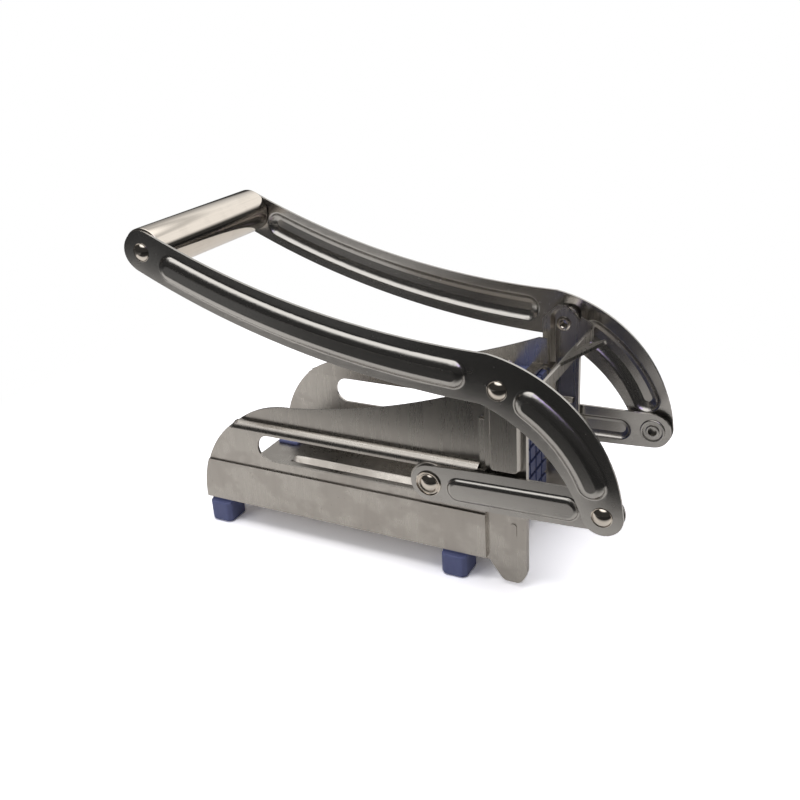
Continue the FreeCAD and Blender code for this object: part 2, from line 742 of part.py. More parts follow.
def blade_set(name, upright):
    """Knife strips on the inner cell lines, half-slotted where they cross the other set."""
    thin, depth = size("blade_sheet"), size("blade_depth")
    rear, middle_z, window = value(BLADE_REAR), size("cassette_z"), value(WINDOW)
    slit = thin + 2 * size("running_fit")
    count = int(size("cell_count"))
    lines = [size("cell") * (index - count / 2) for index in range(1, count)]
    lap_start = rear if upright else rear + depth / 2 - size("running_fit")
    lap = depth / 2 + size("running_fit")
    strips = []
    for across in lines:
        strip = Part.makeBox(depth, window, thin, Vector(rear, -window / 2, across - thin / 2))
        slits = [Part.makeBox(lap, slit, 2 * slit, Vector(lap_start, cross - slit / 2, across - slit))
                 for cross in lines]
        strip = strip.cut(slits)
        if upright:
            strip.rotate(Vector(0, 0, 0), Vector(1, 0, 0), 90)
        strip.translate(Vector(0, 0, middle_z))
        strips.append(strip)
    return add_feature(name, Part.makeCompound(strips))


# ---- pusher --------------------------------------------------------------------------


def origin_plane(body, role):
    """Find one of a body's own origin planes by its role."""
    return next(plane for plane in body.Origin.OriginFeatures if plane.Role == role)


def add_sketch(body, name, role):
    """Add an empty sketch on one of a body's origin planes."""
    sketch = body.newObject("Sketcher::SketchObject", name)
    sketch.AttachmentSupport = [(origin_plane(body, role), "")]
    sketch.MapMode = "FlatFace"
    return sketch


def sketch_square(sketch, across, height, half):
    """Draw a closed square in a sketch about a middle point."""
    turns = ((-half, -half), (half, -half), (half, half), (-half, half))
    corners = [Vector(across + dx, height + dz) for dx, dz in turns]
    for start, end in zip(corners, corners[1:] + corners[:1]):
        sketch.addGeometry(Part.LineSegment(start, end), False)


def pusher_block():
    """Plastic pusher block: a square plate with one square peg for each cell of the grid."""
    body = doc.addObject("PartDesign::Body", "pusher_block")
    plate_sketch = add_sketch(body, "plate_outline", "YZ_Plane")
    sketch_square(plate_sketch, 0, 0, value(BLOCK_HALF))
    base = body.newObject("PartDesign::Pad", "plate")
    base.Profile = plate_sketch
    bind(base, Length="Sizes.block_depth")
    peg_sketch = add_sketch(body, "peg_outlines", "YZ_Plane")
    count = int(size("cell_count"))
    lines = [size("cell") * (index + 0.5 - count / 2) for index in range(count)]
    for across in lines:
        for height in lines:
            sketch_square(peg_sketch, across, height, (size("cell") - size("peg_gap")) / 2)
    pegs = body.newObject("PartDesign::Pad", "pegs")
    pegs.Profile = peg_sketch
    bind(pegs, Length="Sizes.block_depth + Sizes.peg_length")
    body.Tip = pegs
    return bind(body, place_x=BLOCK_REAR, place_z="Sizes.cassette_z")


def cheek_shape():
    """Cheek of the pusher's carriage, narrowing back from the block to round the axle."""
    front_x, middle_z, half = value(BLOCK_REAR), size("cassette_z"), value(BLOCK_HALF)
    pin_x, pin_z = place(REAR_PIN)
    reach = size("cheek_half_height")
    outline = Part.Wire(
        [arc((pin_x, pin_z + reach), (size("carriage_rear_x"), pin_z), (pin_x, pin_z - reach))]
        + path((pin_x, pin_z - reach), (front_x, middle_z - half), (front_x, middle_z + half),
               (pin_x, pin_z + reach)))
    return plate(outline, f"{CHEEK_OUTER} - Sizes.sheet", CHEEK_OUTER)


def pusher_carriage():
    """Pusher carriage: a folded channel whose two cheeks hold the axle behind the block."""
    web = block("carriage_web", (f"{BLOCK_REAR} - Sizes.sheet", f"-{CHEEK_OUTER}",
                                 f"Sizes.cassette_z - {BLOCK_HALF}"),
                (BLOCK_REAR, CHEEK_OUTER, f"Sizes.cassette_z + {BLOCK_HALF}"))
    cheek = add_feature("right_cheek", cheek_shape())
    channel = fuse("carriage_channel", web, cheek, mirror("left_cheek", cheek))
    bore = bar("carriage_bore", REAR_PIN, f"Sizes.axle_diameter + 2 * {FIT}",
               f"-{CHEEK_OUTER}", CHEEK_OUTER)
    return cut("pusher_carriage", channel, bore)


def pusher_axle():
    """Axle across the carriage, stepped down at both ends for the links, with domed heads."""
    shoulder = f"({LINK_INNER} - {FIT})"
    seat = f"({LINK_OUTER} + {FIT})"
    thick = bar("axle_middle", REAR_PIN, "Sizes.axle_diameter", f"-{shoulder}", shoulder)
    thin = bar("axle_ends", REAR_PIN, "Sizes.axle_end_diameter", f"-{seat}", seat)
    right_head = head("axle_head", REAR_PIN, "Sizes.axle_dome_diameter", seat)
    return fuse("pusher_axle", thick, thin, right_head, mirror("axle_head_left", right_head))


def rollers():
    """Flanged rollers on the axle: barrels run in the slots, flanges outside the walls."""
    flange_outer = f"({LINK_INNER} - {FIT})"
    flange_inner = f"({flange_outer} - Sizes.roller_flange)"
    barrel = bar("roller_barrel", REAR_PIN, "Sizes.roller_diameter", CHEEK_OUTER, flange_inner)
    flange = bar("roller_rim", REAR_PIN, "Sizes.roller_flange_diameter", flange_inner, flange_outer)
    bore = bar("roller_bore", REAR_PIN, f"Sizes.axle_diameter + 2 * {FIT}", CHEEK_OUTER, flange_outer)
    return both_sides("rollers", cut("roller", fuse("roller_solid", barrel, flange), bore))


# ---- rivets, washers and grip --------------------------------------------------------


def pivot_rivets():
    """Pivot rivets: domed head outside the arm, shank through to a formed tail in the panel."""
    seat = f"({ARM_OUTER} + {FIT})"
    tail_end = f"({PANEL_BACK} - Sizes.tail_length)"
    outer_head = head("pivot_head", PIVOT, "Sizes.dome_diameter", seat)
    shank = bar("pivot_shank", PIVOT, "Sizes.pivot_diameter", tail_end, seat)
    tail = bar("pivot_tail", PIVOT, "Sizes.tail_diameter", tail_end, PANEL_BACK)
    return both_sides("pivot_rivets", fuse("pivot_rivet", outer_head, shank, tail))


def pivot_washers():
    """Washers that fill the gaps between the raised panels and the arms."""
    return both_sides("pivot_washers", ring(
        "pivot_washer", PIVOT, "Sizes.washer_diameter", f"Sizes.pivot_diameter + 2 * {FIT}",
        PANEL_OUTER, f"{ARM_INNER} - {FIT}"))


def front_rivets():
    """Front rivets held in the arms: domed heads outside and shanks through the sheet."""
    outer_head = head("front_head", FRONT_PIN, "Sizes.dome_diameter", ARM_OUTER)
    shank = bar("front_shank", FRONT_PIN, "Sizes.pivot_diameter", ARM_INNER, ARM_OUTER)
    return both_sides("front_rivets", fuse("front_rivet", outer_head, shank))


def grip_tube():
    """Grip tube between the arms."""
    return ring("grip_tube", GRIP, "Sizes.grip_diameter", "Sizes.grip_diameter - 2 * Sizes.grip_wall",
                f"-{ARM_INNER}", ARM_INNER)


def grip_caps():
    """Plugs in the ends of the grip tube, bored for the tie rod."""
    plug = f"Sizes.grip_diameter - 2 * Sizes.grip_wall - 2 * {FIT}"
    return both_sides("grip_caps", ring("grip_cap", GRIP, plug, f"Sizes.rod_diameter + 2 * {FIT}",
                                        f"{ARM_INNER} - Sizes.grip_cap_length", ARM_INNER))


def grip_tie_rod():
    """Rod through the grip with a domed head outside each arm."""
    rod = bar("rod", GRIP, "Sizes.rod_diameter", f"-{ARM_OUTER}", ARM_OUTER)
    right_head = head("rod_head", GRIP, "Sizes.dome_diameter", ARM_OUTER)
    return fuse("grip_tie_rod", rod, right_head, mirror("rod_head_left", right_head))


# ---- feet ----------------------------------------------------------------------------


def chamfer(name, base, alias, chosen):
    """Chamfer the edges of an object whose bounds are chosen, by a size of the sheet."""
    doc.recompute()
    eased = doc.addObject("Part::Chamfer", name)
    eased.Base = base
    eased.Edges = [(index, size(alias), size(alias))
                   for index, edge in enumerate(base.Shape.Edges, start=1) if chosen(edge.BoundBox)]
    return eased


def foot_block(name, middle_x):
    """Moulded block of a foot with eased corners, a bevelled sole and an outer step."""
    half = "Sizes.foot_length / 2"
    base = block(f"{name}_blank", (f"{middle_x} - {half}", "Sizes.foot_inner_y", MIDDLE),
                 (f"{middle_x} + {half}", "Sizes.foot_outer_y", "Sizes.floor_z"))
    eased = chamfer(f"{name}_corners", base, "foot_round",
                    lambda bounds: bounds.ZLength > size("floor_z") / 2)
    bevelled = chamfer(f"{name}_bevelled", eased, "foot_bevel",
                       lambda bounds: bounds.ZMax < size("foot_bevel"))
    step = block(f"{name}_step", (f"{middle_x} - {half}", WALL_OUTER, "Sizes.floor_z - Sizes.foot_step"),
                 (f"{middle_x} + {half}", "Sizes.foot_outer_y", "Sizes.floor_z"))
    return cut(f"{name}_body", bevelled, step)


def foot(name, middle_x, button_inner):
    """One right-hand foot: its block, the neck through the floor and the button above it."""
    half = "(Sizes.foot_length / 2)"
    button = block(f"{name}_button", (f"{middle_x} - {half}", button_inner, FLOOR_TOP),
                   (f"{middle_x} + {half}", "Sizes.button_outer_y", f"{FLOOR_TOP} + Sizes.button_rise"))
    neck = neck_block(f"{name}_neck", middle_x, button_inner, MIDDLE)
    return fuse(name, foot_block(name, middle_x), neck, button)


def neck_block(name, middle_x, button_inner, gap):
    """Neck of a foot through the floor, grown all round by a gap to make its hole."""
    inset = f"(Sizes.neck_inset - {gap})"
    half = f"(Sizes.foot_length / 2 - {inset})"
    inner_y = f"max({button_inner}; Sizes.foot_inner_y)"
    return block(name, (f"{middle_x} - {half}", f"{inner_y} + {inset}", "Sizes.floor_z"),
                 (f"{middle_x} + {half}", f"Sizes.button_outer_y - {inset}", FLOOR_TOP))


def feet_and_holes():
    """Both pairs of feet, and the blocks that cut their holes in the floor."""
    pairs, holes = [], []
    for name in ("rear", "front"):
        middle_x = f"Sizes.{name}_foot_x"
        button_inner = f"Sizes.{name}_button_inner_y"
        pairs.append(both_sides(f"{name}_feet", foot(f"{name}_foot", middle_x, button_inner)))
        opening = neck_block(f"{name}_foot_hole", middle_x, button_inner, FIT)
        holes += [opening, mirror(f"{name}_foot_hole_left", opening)]
    return pairs, holes


# ---- assembly ------------------------------------------------------------------------


def build():
    """Make every sub-part, and label each with the name of its file."""
    feet, holes = feet_and_holes()
    nodes = [base_tray(holes), front_frame(), cassette_frame(),
             blade_set("upright_blades", True), blade_set("cross_blades", False),
             pusher_block(), pusher_carriage(), pusher_axle(), rollers(),
             grip_tube(), grip_caps(), grip_tie_rod(),
             pivot_rivets(), pivot_washers(), front_rivets(), *feet]
    for right in (side_wall(), lever_arm(), link(), link_eyelet()):
        nodes += [right, mirror(right.Name.replace("right_", "left_"), right)]
    for node in nodes:
        node.Label = node.Name
    doc.recompute()
    return nodes


def check(nodes):
    """Stop on a failed feature or on a sub-part without a valid solid."""
    for item in doc.Objects:
        if "Invalid" in item.State or "Error" in item.State:
            raise RuntimeError(f"{item.Label} failed: {item.State}")
    for node in nodes:
        if node.Shape.isNull() or not node.Shape.isValid() or not node.Shape.Solids:
            raise RuntimeError(f"{node.Label} has no valid solid")


def export(nodes):
    """Write each sub-part's shape under its label."""
    os.makedirs("parts", exist_ok=True)
    for node in nodes:
        node.Shape.exportStep(f"parts/{node.Label}.step")


def main():
    """Build, check and export the dicer."""
    nodes = build()
    check(nodes)
    export(nodes)
    print(len(nodes), "sub-parts")


main()
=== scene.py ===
"""Looks of a lever vegetable dicer in pressed stainless sheet.

Every piece is in metres in the part's own frame: +X towards the blades, +Z up, and the left
side on -Y. Each sub-assembly is a class that builds its pieces and dresses them.
"""

import logging
import math
from collections.abc import Iterator
from contextlib import contextmanager
from dataclasses import dataclass
from enum import Enum
from typing import ClassVar

import bpy
from mathutils import Matrix, Vector


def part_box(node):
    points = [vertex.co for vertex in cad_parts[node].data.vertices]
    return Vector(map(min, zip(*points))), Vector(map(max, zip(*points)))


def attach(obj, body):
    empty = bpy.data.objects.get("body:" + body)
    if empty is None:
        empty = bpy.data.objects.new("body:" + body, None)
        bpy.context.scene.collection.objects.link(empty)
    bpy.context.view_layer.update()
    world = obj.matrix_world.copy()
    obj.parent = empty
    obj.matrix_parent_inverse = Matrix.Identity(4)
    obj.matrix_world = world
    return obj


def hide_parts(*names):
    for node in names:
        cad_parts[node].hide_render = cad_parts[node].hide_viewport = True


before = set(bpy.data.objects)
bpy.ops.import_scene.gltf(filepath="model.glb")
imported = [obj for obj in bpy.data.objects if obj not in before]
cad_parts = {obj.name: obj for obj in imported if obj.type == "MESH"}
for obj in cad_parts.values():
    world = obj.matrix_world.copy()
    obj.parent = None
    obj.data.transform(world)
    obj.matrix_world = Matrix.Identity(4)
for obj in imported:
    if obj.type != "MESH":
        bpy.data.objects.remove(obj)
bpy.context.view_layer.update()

log = logging.getLogger("dicer")
Piece = bpy.types.Object
Colour = tuple[float, float, float, float]
Point = tuple[float, float, float]
Span = tuple[float, float]
Profile = list[tuple[float, float]]

MM = 0.001
WHITE: Colour = (1.0, 1.0, 1.0, 1.0)
BOW = 0.7 * MM          # how far the arms' sheets and their rivet heads stand out
WELD = 0.002 * MM       # points nearer than this become one
NEAR = 0.02 * MM        # how near a point is to a cut or a bend that it lies on
LEVEL_WITHIN = 0.4      # degrees between faces that are joined into one
KEEN_FROM = 34.0        # degrees between faces whose edge is rounded
SMOOTH_WITHIN = 40.0    # degrees between a sheet's faces that are shaded as one
TURNED_WITHIN = 38.0    # the same for turned pieces
FLAT = 0.98             # |normal Y| above which a face lies in its sheet's plane
STEEP = FLAT - 0.1      # |normal Y| below which a face has left that plane
SLOPED = 0.12           # |normal Y| below which a face is the sheet's cut edge
CROSSWISE = 0.99        # share of its length that a corner's edge runs across the dicer
CROWN_STEPS, FOOT_STEPS, EDGE_STEPS = 6, 3, 2
MEAN = 0.5              # middle value of a noise


class Side(Enum):
    """One of the dicer's two sides, with the sign of its Y."""

    LEFT = -1
    RIGHT = 1

    @property
    def word(self) -> str:
        """Lower-case name of the side, as the nodes begin."""
        return self.name.lower()


class Grain(Enum):
    """Direction of the brushing on a sheet, as pattern scales along X, Y and Z per metre."""

    UPRIGHT = (1700.0, 1700.0, 26.0)
    LENGTHWISE = (26.0, 1700.0, 1700.0)
    ACROSS = (1700.0, 26.0, 1700.0)


# ---- shader maths


@dataclass
class Sock:
    """A shader socket that adds Math nodes when it is used in an expression."""

    recipe: "Recipe"
    socket: bpy.types.NodeSocket

    def _math(self, operation: str, first: "Sock | float", second: "Sock | float") -> "Sock":
        """Adds one Math node.

        Args:
            operation: The node's operation.
            first: Left operand.
            second: Right operand.

        Returns:
            The node's result.
        """
        return self.recipe.node("Math", {0: first, 1: second}, {"operation": operation})

    def __add__(self, other: "Sock | float") -> "Sock":
        """Sum."""
        return self._math("ADD", self, other)

    __radd__ = __add__

    def __sub__(self, other: "Sock | float") -> "Sock":
        """Difference."""
        return self._math("SUBTRACT", self, other)

    def __rsub__(self, other: float) -> "Sock":
        """Difference with a number on the left."""
        return self._math("SUBTRACT", other, self)

    def __mul__(self, other: "Sock | float") -> "Sock":
        """Product."""
        return self._math("MULTIPLY", self, other)

    __rmul__ = __mul__

    def high(self, other: "Sock | float") -> "Sock":
        """Larger of the two."""
        return self._math("MAXIMUM", self, other)

    def low(self, other: "Sock | float") -> "Sock":
        """Smaller of the two."""
        return self._math("MINIMUM", self, other)

    def size(self) -> "Sock":
        """Value without its sign."""
        return self._math("ABSOLUTE", self, 0.0)

    def ramp(self, start: float, end: float) -> "Sock":
        """Smooth step.

        Args:
            start: Value at which the step is 0.
            end: Value at which the step is 1.

        Returns:
            The step, from 0 to 1.
        """
        return self.recipe.node(
            "MapRange", {"Value": self, "From Min": start, "From Max": end},
            {"interpolation_type": "SMOOTHSTEP"})


class Recipe:
    """Node builder for one material or world."""

    def __init__(self, owner: bpy.types.Material | bpy.types.World) -> None:
        """Clears the owner's nodes.

        Args:
            owner: The material or world to build.
        """
        owner.use_nodes = True
        self.tree = owner.node_tree
        self.tree.nodes.clear()

    def node(self, kind: str, inputs: dict | None = None, settings: dict | None = None,
             output: int | str = 0) -> Sock:
        """Adds a node.

        Args:
            kind: The node's type, without its prefix.
            inputs: Values or links of its sockets, by name or number.
            settings: Properties that are set first.
            output: The output to return.

        Returns:
            The wrapped output.
        """
        made = self.tree.nodes.new(f"ShaderNode{kind}")
        for name, setting in (settings or {}).items():
            setattr(made, name, setting)
        for name, given in (inputs or {}).items():
            if isinstance(given, Sock):
                self.tree.links.new(given.socket, made.inputs[name])
            else:
                made.inputs[name].default_value = given
        return Sock(self, made.outputs[output])

    def place(self, scale: Point, turn: Point = (0.0, 0.0, 0.0)) -> Sock:
        """Object coordinates, scaled and turned.

        Args:
            scale: Pattern repeats per metre along each axis.
            turn: Rotation in radians.

        Returns:
            The mapped coordinates.
        """
        here = self.node("TexCoord", output="Object")
        return self.node("Mapping", {"Vector": here, "Scale": scale, "Rotation": turn})

    def where(self, space: str) -> tuple[Sock, Sock, Sock]:
        """X, Y and Z of the place that is shaded or of the direction that is looked in.

        Args:
            space: Object for the place, Generated for the direction.

        Returns:
            The three numbers.
        """
        split = self.tree.nodes.new("ShaderNodeSeparateXYZ")
        self.tree.links.new(self.node("TexCoord", output=space).socket, split.inputs[0])
        return tuple(Sock(self, out) for out in split.outputs)

    def noise(self, where: Sock, detail: float, rough: float = 0.55) -> Sock:
        """Noise from 0 to 1 at given coordinates.

        Args:
            where: The coordinates, already scaled.
            detail: Number of finer layers.
            rough: Strength of the finer layers.

        Returns:
            The noise value.
        """
        return self.node("TexNoise", {
            "Vector": where, "Scale": 1.0, "Detail": detail, "Roughness": rough})

    def blotches(self, pattern: "Blotches") -> Sock:
        """Noise that is cut to patches.

        Args:
            pattern: The noise and the ends of the cut.

        Returns:
            1 in a patch, 0 outside.
        """
        where = self.place(pattern.scale, pattern.turn)
        return self.noise(where, pattern.detail, pattern.rough).ramp(pattern.start, pattern.end)

    def blend(self, factor: Sock | float, first: Colour | Sock, second: Colour | Sock) -> Sock:
        """Colour between two colours.

        Args:
            factor: 0 for the first, 1 for the second.
            first: Colour or link.
            second: Colour or link.

        Returns:
            The mixed colour.
        """
        return self.node("Mix", {0: factor, 6: first, 7: second}, {"data_type": "RGBA"}, 2)

    def surface(self, relief: Sock, depth: float, strength: float, inputs: dict) -> None:
        """Ends the material in a Principled shader with a bumpy surface.

        Args:
            relief: Height of the bumps from 0 to 1.
            depth: Depth of the bumps in metres.
            strength: Share of the bumps that is kept.
            inputs: Values or links of the shader's other sockets.
        """
        normal = self.node("Bump", {"Height": relief, "Distance": depth, "Strength": strength})
        self.node_out(self.node("BsdfPrincipled", inputs | {"Normal": normal}))

    def split(self, kind: str, seen: Sock, others: Sock) -> Sock:
        """Shader for one kind of ray, with another for the rest.

        Args:
            kind: Camera or Glossy.
            seen: What that kind meets.
            others: What the others meet.

        Returns:
            The mixed shader.
        """
        switch = self.node("LightPath", output=f"Is {kind} Ray")
        return self.node("MixShader", {0: switch, 1: others, 2: seen})

    def node_out(self, shader: Sock, kind: str = "OutputMaterial") -> None:
        """Links a shader to the output.

        Args:
            shader: The shader.
            kind: Type of the output node.
        """
        end = self.tree.nodes.new(f"ShaderNode{kind}")
        self.tree.links.new(shader.socket, end.inputs["Surface"])


# ---- finishes


@dataclass(frozen=True)
class Blotches:
    """Noise that is cut to patches: repeats per metre, finer layers and the ends of the cut."""

    scale: Point
    detail: float
    start: float
    end: float
    rough: float = 0.55
    turn: Point = (0.0, 0.0, 0.0)


SMUDGES = Blotches((42.0, 42.0, 58.0), 3.0, 0.44, 0.57, 0.62, (0.3, 0.5, 0.2))
DRIPS = Blotches((75.0, 75.0, 24.0), 2.0, 0.52, 0.7)
SPECKS = Blotches((520.0, 520.0, 520.0), 1.0, 0.73, 0.78)
HAZE = Blotches((90.0, 90.0, 90.0), 3.0, 0.45, 0.75)
RUBS = Blotches((110.0, 110.0, 110.0), 3.0, 0.4, 0.72)


@dataclass(frozen=True)
class Finish:
    """A named material."""

    name: str

    def make(self) -> bpy.types.Material:
        """Builds the material.

        Returns:
            The material.
        """
        material = bpy.data.materials.new(self.name)
        self.lay(Recipe(material))
        return material

    def lay(self, recipe: Recipe) -> None:
        """Lays the material's nodes.

        Args:
            recipe: The node builder.
        """
        raise NotImplementedError


@dataclass(frozen=True)
class BrushedSheet(Finish):
    """Brushed stainless sheet with streaks, handling smudges and small pits."""

    colour: Colour
    shade: Colour
    grain: Grain = Grain.UPRIGHT
    rough: float = 0.30
    streak: float = 0.10
    smudge: float = 0.5
    pit: float = 0.35
    relief: float = 0.000012
    long_streak: float = 0.22
    clean_above: float = 0.058
    clean_fade: float = 0.012
    clean_share: float = 0.8
    smudge_stain: float = 0.6
    smudge_rough: float = 0.10
    drip_stain: float = 0.35
    pit_rough: float = 0.3
    streak_height: float = 0.8

    def lay(self, recipe: Recipe) -> None:
        """Lays the sheet's nodes.

        Args:
            recipe: The node builder.
        """
        streaks = recipe.noise(recipe.place(self.grain.value), detail=4.0, rough=0.6)
        stretched = tuple(scale * self.long_streak for scale in self.grain.value)
        long_streaks = recipe.noise(recipe.place(stretched), detail=2.0)
        handled = 1.0 - self.clean_share * recipe.where("Object")[2].ramp(
            self.clean_above - self.clean_fade, self.clean_above)
        smudges = recipe.blotches(SMUDGES) * handled * self.smudge
        drips = recipe.blotches(DRIPS) * self.smudge
        specks = recipe.blotches(SPECKS) * self.pit
        lay = (streaks - MEAN) * self.streak + (long_streaks - MEAN) * self.streak
        stain = smudges * self.smudge_stain + drips * handled * self.drip_stain + specks + lay
        rough = self.rough + lay + smudges * self.smudge_rough + specks * self.pit_rough
        recipe.surface(streaks * self.streak_height - specks, self.relief, 0.6, {
            "Base Color": recipe.blend(stain.high(0.0).low(1.0), self.colour, self.shade),
            "Metallic": 1.0, "Roughness": rough.high(0.05).low(1.0)})


@dataclass(frozen=True)
class PolishedSteel(Finish):
    """Bright turned or polished steel with fine rings and faint tarnish."""

    colour: Colour
    shade: Colour
    rough: float = 0.12
    grain: Grain = Grain.ACROSS
    haze_stain: float = 0.25
    haze_rough: float = 0.02
    line_stain: float = 0.7
    line_rough: float = 0.08
    relief: float = 0.000004

    def lay(self, recipe: Recipe) -> None:
        """Lays the steel's nodes.

        Args:
            recipe: The node builder.
        """
        lines = recipe.noise(recipe.place(self.grain.value), detail=3.0)
        haze = recipe.blotches(HAZE)
        stain = haze * self.haze_stain + (lines - MEAN) * self.line_stain
        rough = self.rough + (lines - MEAN) * self.line_rough + haze * self.haze_rough
        recipe.surface(lines, self.relief, 0.4, {
            "Base Color": recipe.blend(stain.high(0.0), self.colour, self.shade),
            "Metallic": 1.0, "Roughness": rough.high(0.03)})


@dataclass(frozen=True)
class MouldedPlastic(Finish):
    """Satin moulded plastic with a fine spark grain and rubbed patches."""

    colour: Colour
    rubbed: Colour
    rough: float = 0.45
    spark_scale: Point = (2200.0, 2200.0, 2200.0)
    spark_stain: float = 0.12
    spark_rough: float = 0.1
    rub_stain: float = 0.55
    rub_rough: float = 0.12
    relief: float = 0.00003

    def lay(self, recipe: Recipe) -> None:
        """Lays the plastic's nodes.

        Args:
            recipe: The node builder.
        """
        spark = recipe.noise(recipe.place(self.spark_scale), detail=2.0)
        rubs = recipe.blotches(RUBS)
        stain = rubs * self.rub_stain + (spark - MEAN) * self.spark_stain
        rough = self.rough + rubs * self.rub_rough + (spark - MEAN) * self.spark_rough
        recipe.surface(spark, self.relief, 0.35, {
            "Base Color": recipe.blend(stain, self.colour, self.rubbed), "Roughness": rough,
            "Specular IOR Level": 0.4})


FINISHES: dict[str, Finish] = {
    "brushed_sheet": BrushedSheet(
        "brushed_sheet_steel", (0.59, 0.562, 0.525, 1.0), (0.41, 0.375, 0.35, 1.0),
        Grain.UPRIGHT, rough=0.28, streak=0.12, relief=0.0000015),
    "arm_steel": BrushedSheet(
        "pressed_arm_steel", (0.55, 0.535, 0.515, 1.0), (0.4, 0.385, 0.37, 1.0),
        Grain.LENGTHWISE, rough=0.25, streak=0.035, smudge=0.3, pit=0.1, relief=0.000002),
    "polished_steel": PolishedSteel(
        "polished_steel", (0.84, 0.775, 0.70, 1.0), (0.60, 0.55, 0.49, 1.0), rough=0.10),
    "blade_steel": BrushedSheet(
        "ground_blade_steel", (0.62, 0.62, 0.62, 1.0), (0.42, 0.42, 0.42, 1.0),
        Grain.ACROSS, rough=0.22, streak=0.08, smudge=0.2),
    "foot_plastic": MouldedPlastic(
        "slate_foot_plastic", (0.15, 0.172, 0.35, 1.0), (0.185, 0.21, 0.41, 1.0), rough=0.4),
    "grip_plug": MouldedPlastic(
        "dark_plug_plastic", (0.02, 0.02, 0.022, 1.0), (0.04, 0.04, 0.042, 1.0), rough=0.5),
    # The pusher's plastic is painted darker than its own pale tone: painted shade for the pegs deep in
    # the cassette, where little light reaches.
    "pusher_plastic": MouldedPlastic(
        "pale_pusher_plastic", (0.12, 0.14, 0.29, 1.0), (0.15, 0.175, 0.34, 1.0), rough=0.3),
}


# ---- modelling


def only(piece: Piece) -> None:
    """Selects one piece alone and makes it active.

    Args:
        piece: The piece.
    """
    bpy.ops.object.select_all(action="DESELECT")
    piece.select_set(True)
    bpy.context.view_layer.objects.active = piece


@contextmanager
def editing(piece: Piece, kind: str = "VERT", picked: list[int] | None = None) -> Iterator[None]:
    """Edit mode on one piece, with all or only some of its edges or faces selected.

    Args:
        piece: The piece.
        kind: What is picked: VERT, EDGE or FACE.
        picked: Numbers of the edges or faces, or None for all.

    Yields:
        Nothing, while the piece is open.
    """
    only(piece)
    bpy.ops.object.mode_set(mode="EDIT")
    bpy.ops.mesh.select_mode(type=kind)
    bpy.ops.mesh.select_all(action="SELECT" if picked is None else "DESELECT")
    if picked is not None:
        bpy.ops.object.mode_set(mode="OBJECT")
        items = piece.data.edges if kind == "EDGE" else piece.data.polygons
        for index in picked:
            items[index].select = True
        bpy.ops.object.mode_set(mode="EDIT")
    yield
    bpy.ops.object.mode_set(mode="OBJECT")
    piece.data.update()


def modify(piece: Piece, kind: str, **settings: float | str) -> None:
    """Changes a piece by a modifier.

    Args:
        piece: The piece.
        kind: The modifier's type.
        settings: Its properties.
    """
    only(piece)
    modifier = piece.modifiers.new(kind.lower(), kind)
    for name, setting in settings.items():
        setattr(modifier, name, setting)
    bpy.ops.object.modifier_apply(modifier=modifier.name)


def round_edges(piece: Piece, picked: list[int], width: float, segments: int,
                clamp: bool = False) -> None:
    """Rounds some of a piece's edges.

    Args:
        piece: The piece.
        picked: The numbers of the edges.
        width: Width of the rounding.
        segments: Steps of the rounding.
        clamp: Whether the rounding is kept from crossing its neighbours.
    """
    if picked:
        with editing(piece, "EDGE", picked):
            bpy.ops.mesh.bevel(offset=width, segments=segments, profile=0.5, clamp_overlap=clamp)


def copy_node(node: str, name: str) -> Piece:
    """Copies a node's mesh into a new piece, merged and with its flats joined.

    Args:
        node: The node to copy.
        name: Name of the new piece.

    Returns:
        The new piece.
    """
    piece = bpy.data.objects.new(name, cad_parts[node].data.copy())
    bpy.context.scene.collection.objects.link(piece)
    with editing(piece):
        bpy.ops.mesh.remove_doubles(threshold=WELD)
        bpy.ops.mesh.dissolve_limited(angle_limit=math.radians(LEVEL_WITHIN))
    return piece


def soften(piece: Piece, width: float) -> None:
    """Rounds the sharp edges of a piece and evens its shading.

    Args:
        piece: The piece.
        width: Width of the rounding.
    """
    modify(piece, "BEVEL", width=width, segments=EDGE_STEPS, limit_method="ANGLE",
           angle_limit=math.radians(KEEN_FROM), use_clamp_overlap=True)
    even_shading(piece)


def round_pressing(piece: Piece, level: float, crown: float, foot: float,
                   clamp: bool = False) -> None:
    """Rounds the bends of a raised area that is pressed outwards across the sheet.

    Args:
        piece: The piece.
        level: Distance from the middle plane that parts the crown's bends from the foot's.
        crown: Width of the rounding at the crown.
        foot: Width of the rounding at the foot.
        clamp: Whether the rounding is kept from crossing its neighbours.
    """
    for is_crown, width, segments in ((True, crown, CROWN_STEPS), (False, foot, FOOT_STEPS)):
        mesh = piece.data
        leans: dict[tuple[int, int], list[float]] = {}
        for face in mesh.polygons:
            for key in face.edge_keys:
                leans.setdefault(key, []).append(abs(face.normal.y))
        picked = []
        for edge in mesh.edges:
            beside = leans.get(edge.key, [])
            high = all(abs(mesh.vertices[v].co.y) > level for v in edge.vertices)
            if len(beside) == 2 and high is is_crown:
                if max(beside) > FLAT and SLOPED < min(beside) < STEEP:
                    picked.append(edge.index)
        round_edges(piece, picked, width, segments, clamp)
        log.info("%s: %d bends %s", piece.name, len(picked), "crown" if is_crown else "foot")


def slice_sheet(piece: Piece, axis: int, cuts: list[float]) -> None:
    """Cuts a piece's faces along planes across one axis, so that a flat sheet can bend.

    Args:
        piece: The piece.
        axis: 0, 1 or 2 for X, Y or Z.
        cuts: Places of the planes along the axis.
    """
    across = tuple(float(i == axis) for i in range(3))
    with editing(piece):
        for cut in cuts:
            bpy.ops.mesh.select_all(action="SELECT")
            bpy.ops.mesh.bisect(plane_co=tuple(cut * part for part in across), plane_no=across)


def even_shading(piece: Piece) -> None:
    """Smooths a piece's shading and weights it by the size of its faces.

    Args:
        piece: The piece.
    """
    only(piece)
    bpy.ops.object.shade_smooth_by_angle(angle=math.radians(SMOOTH_WITHIN))
    modify(piece, "WEIGHTED_NORMAL", keep_sharp=True)


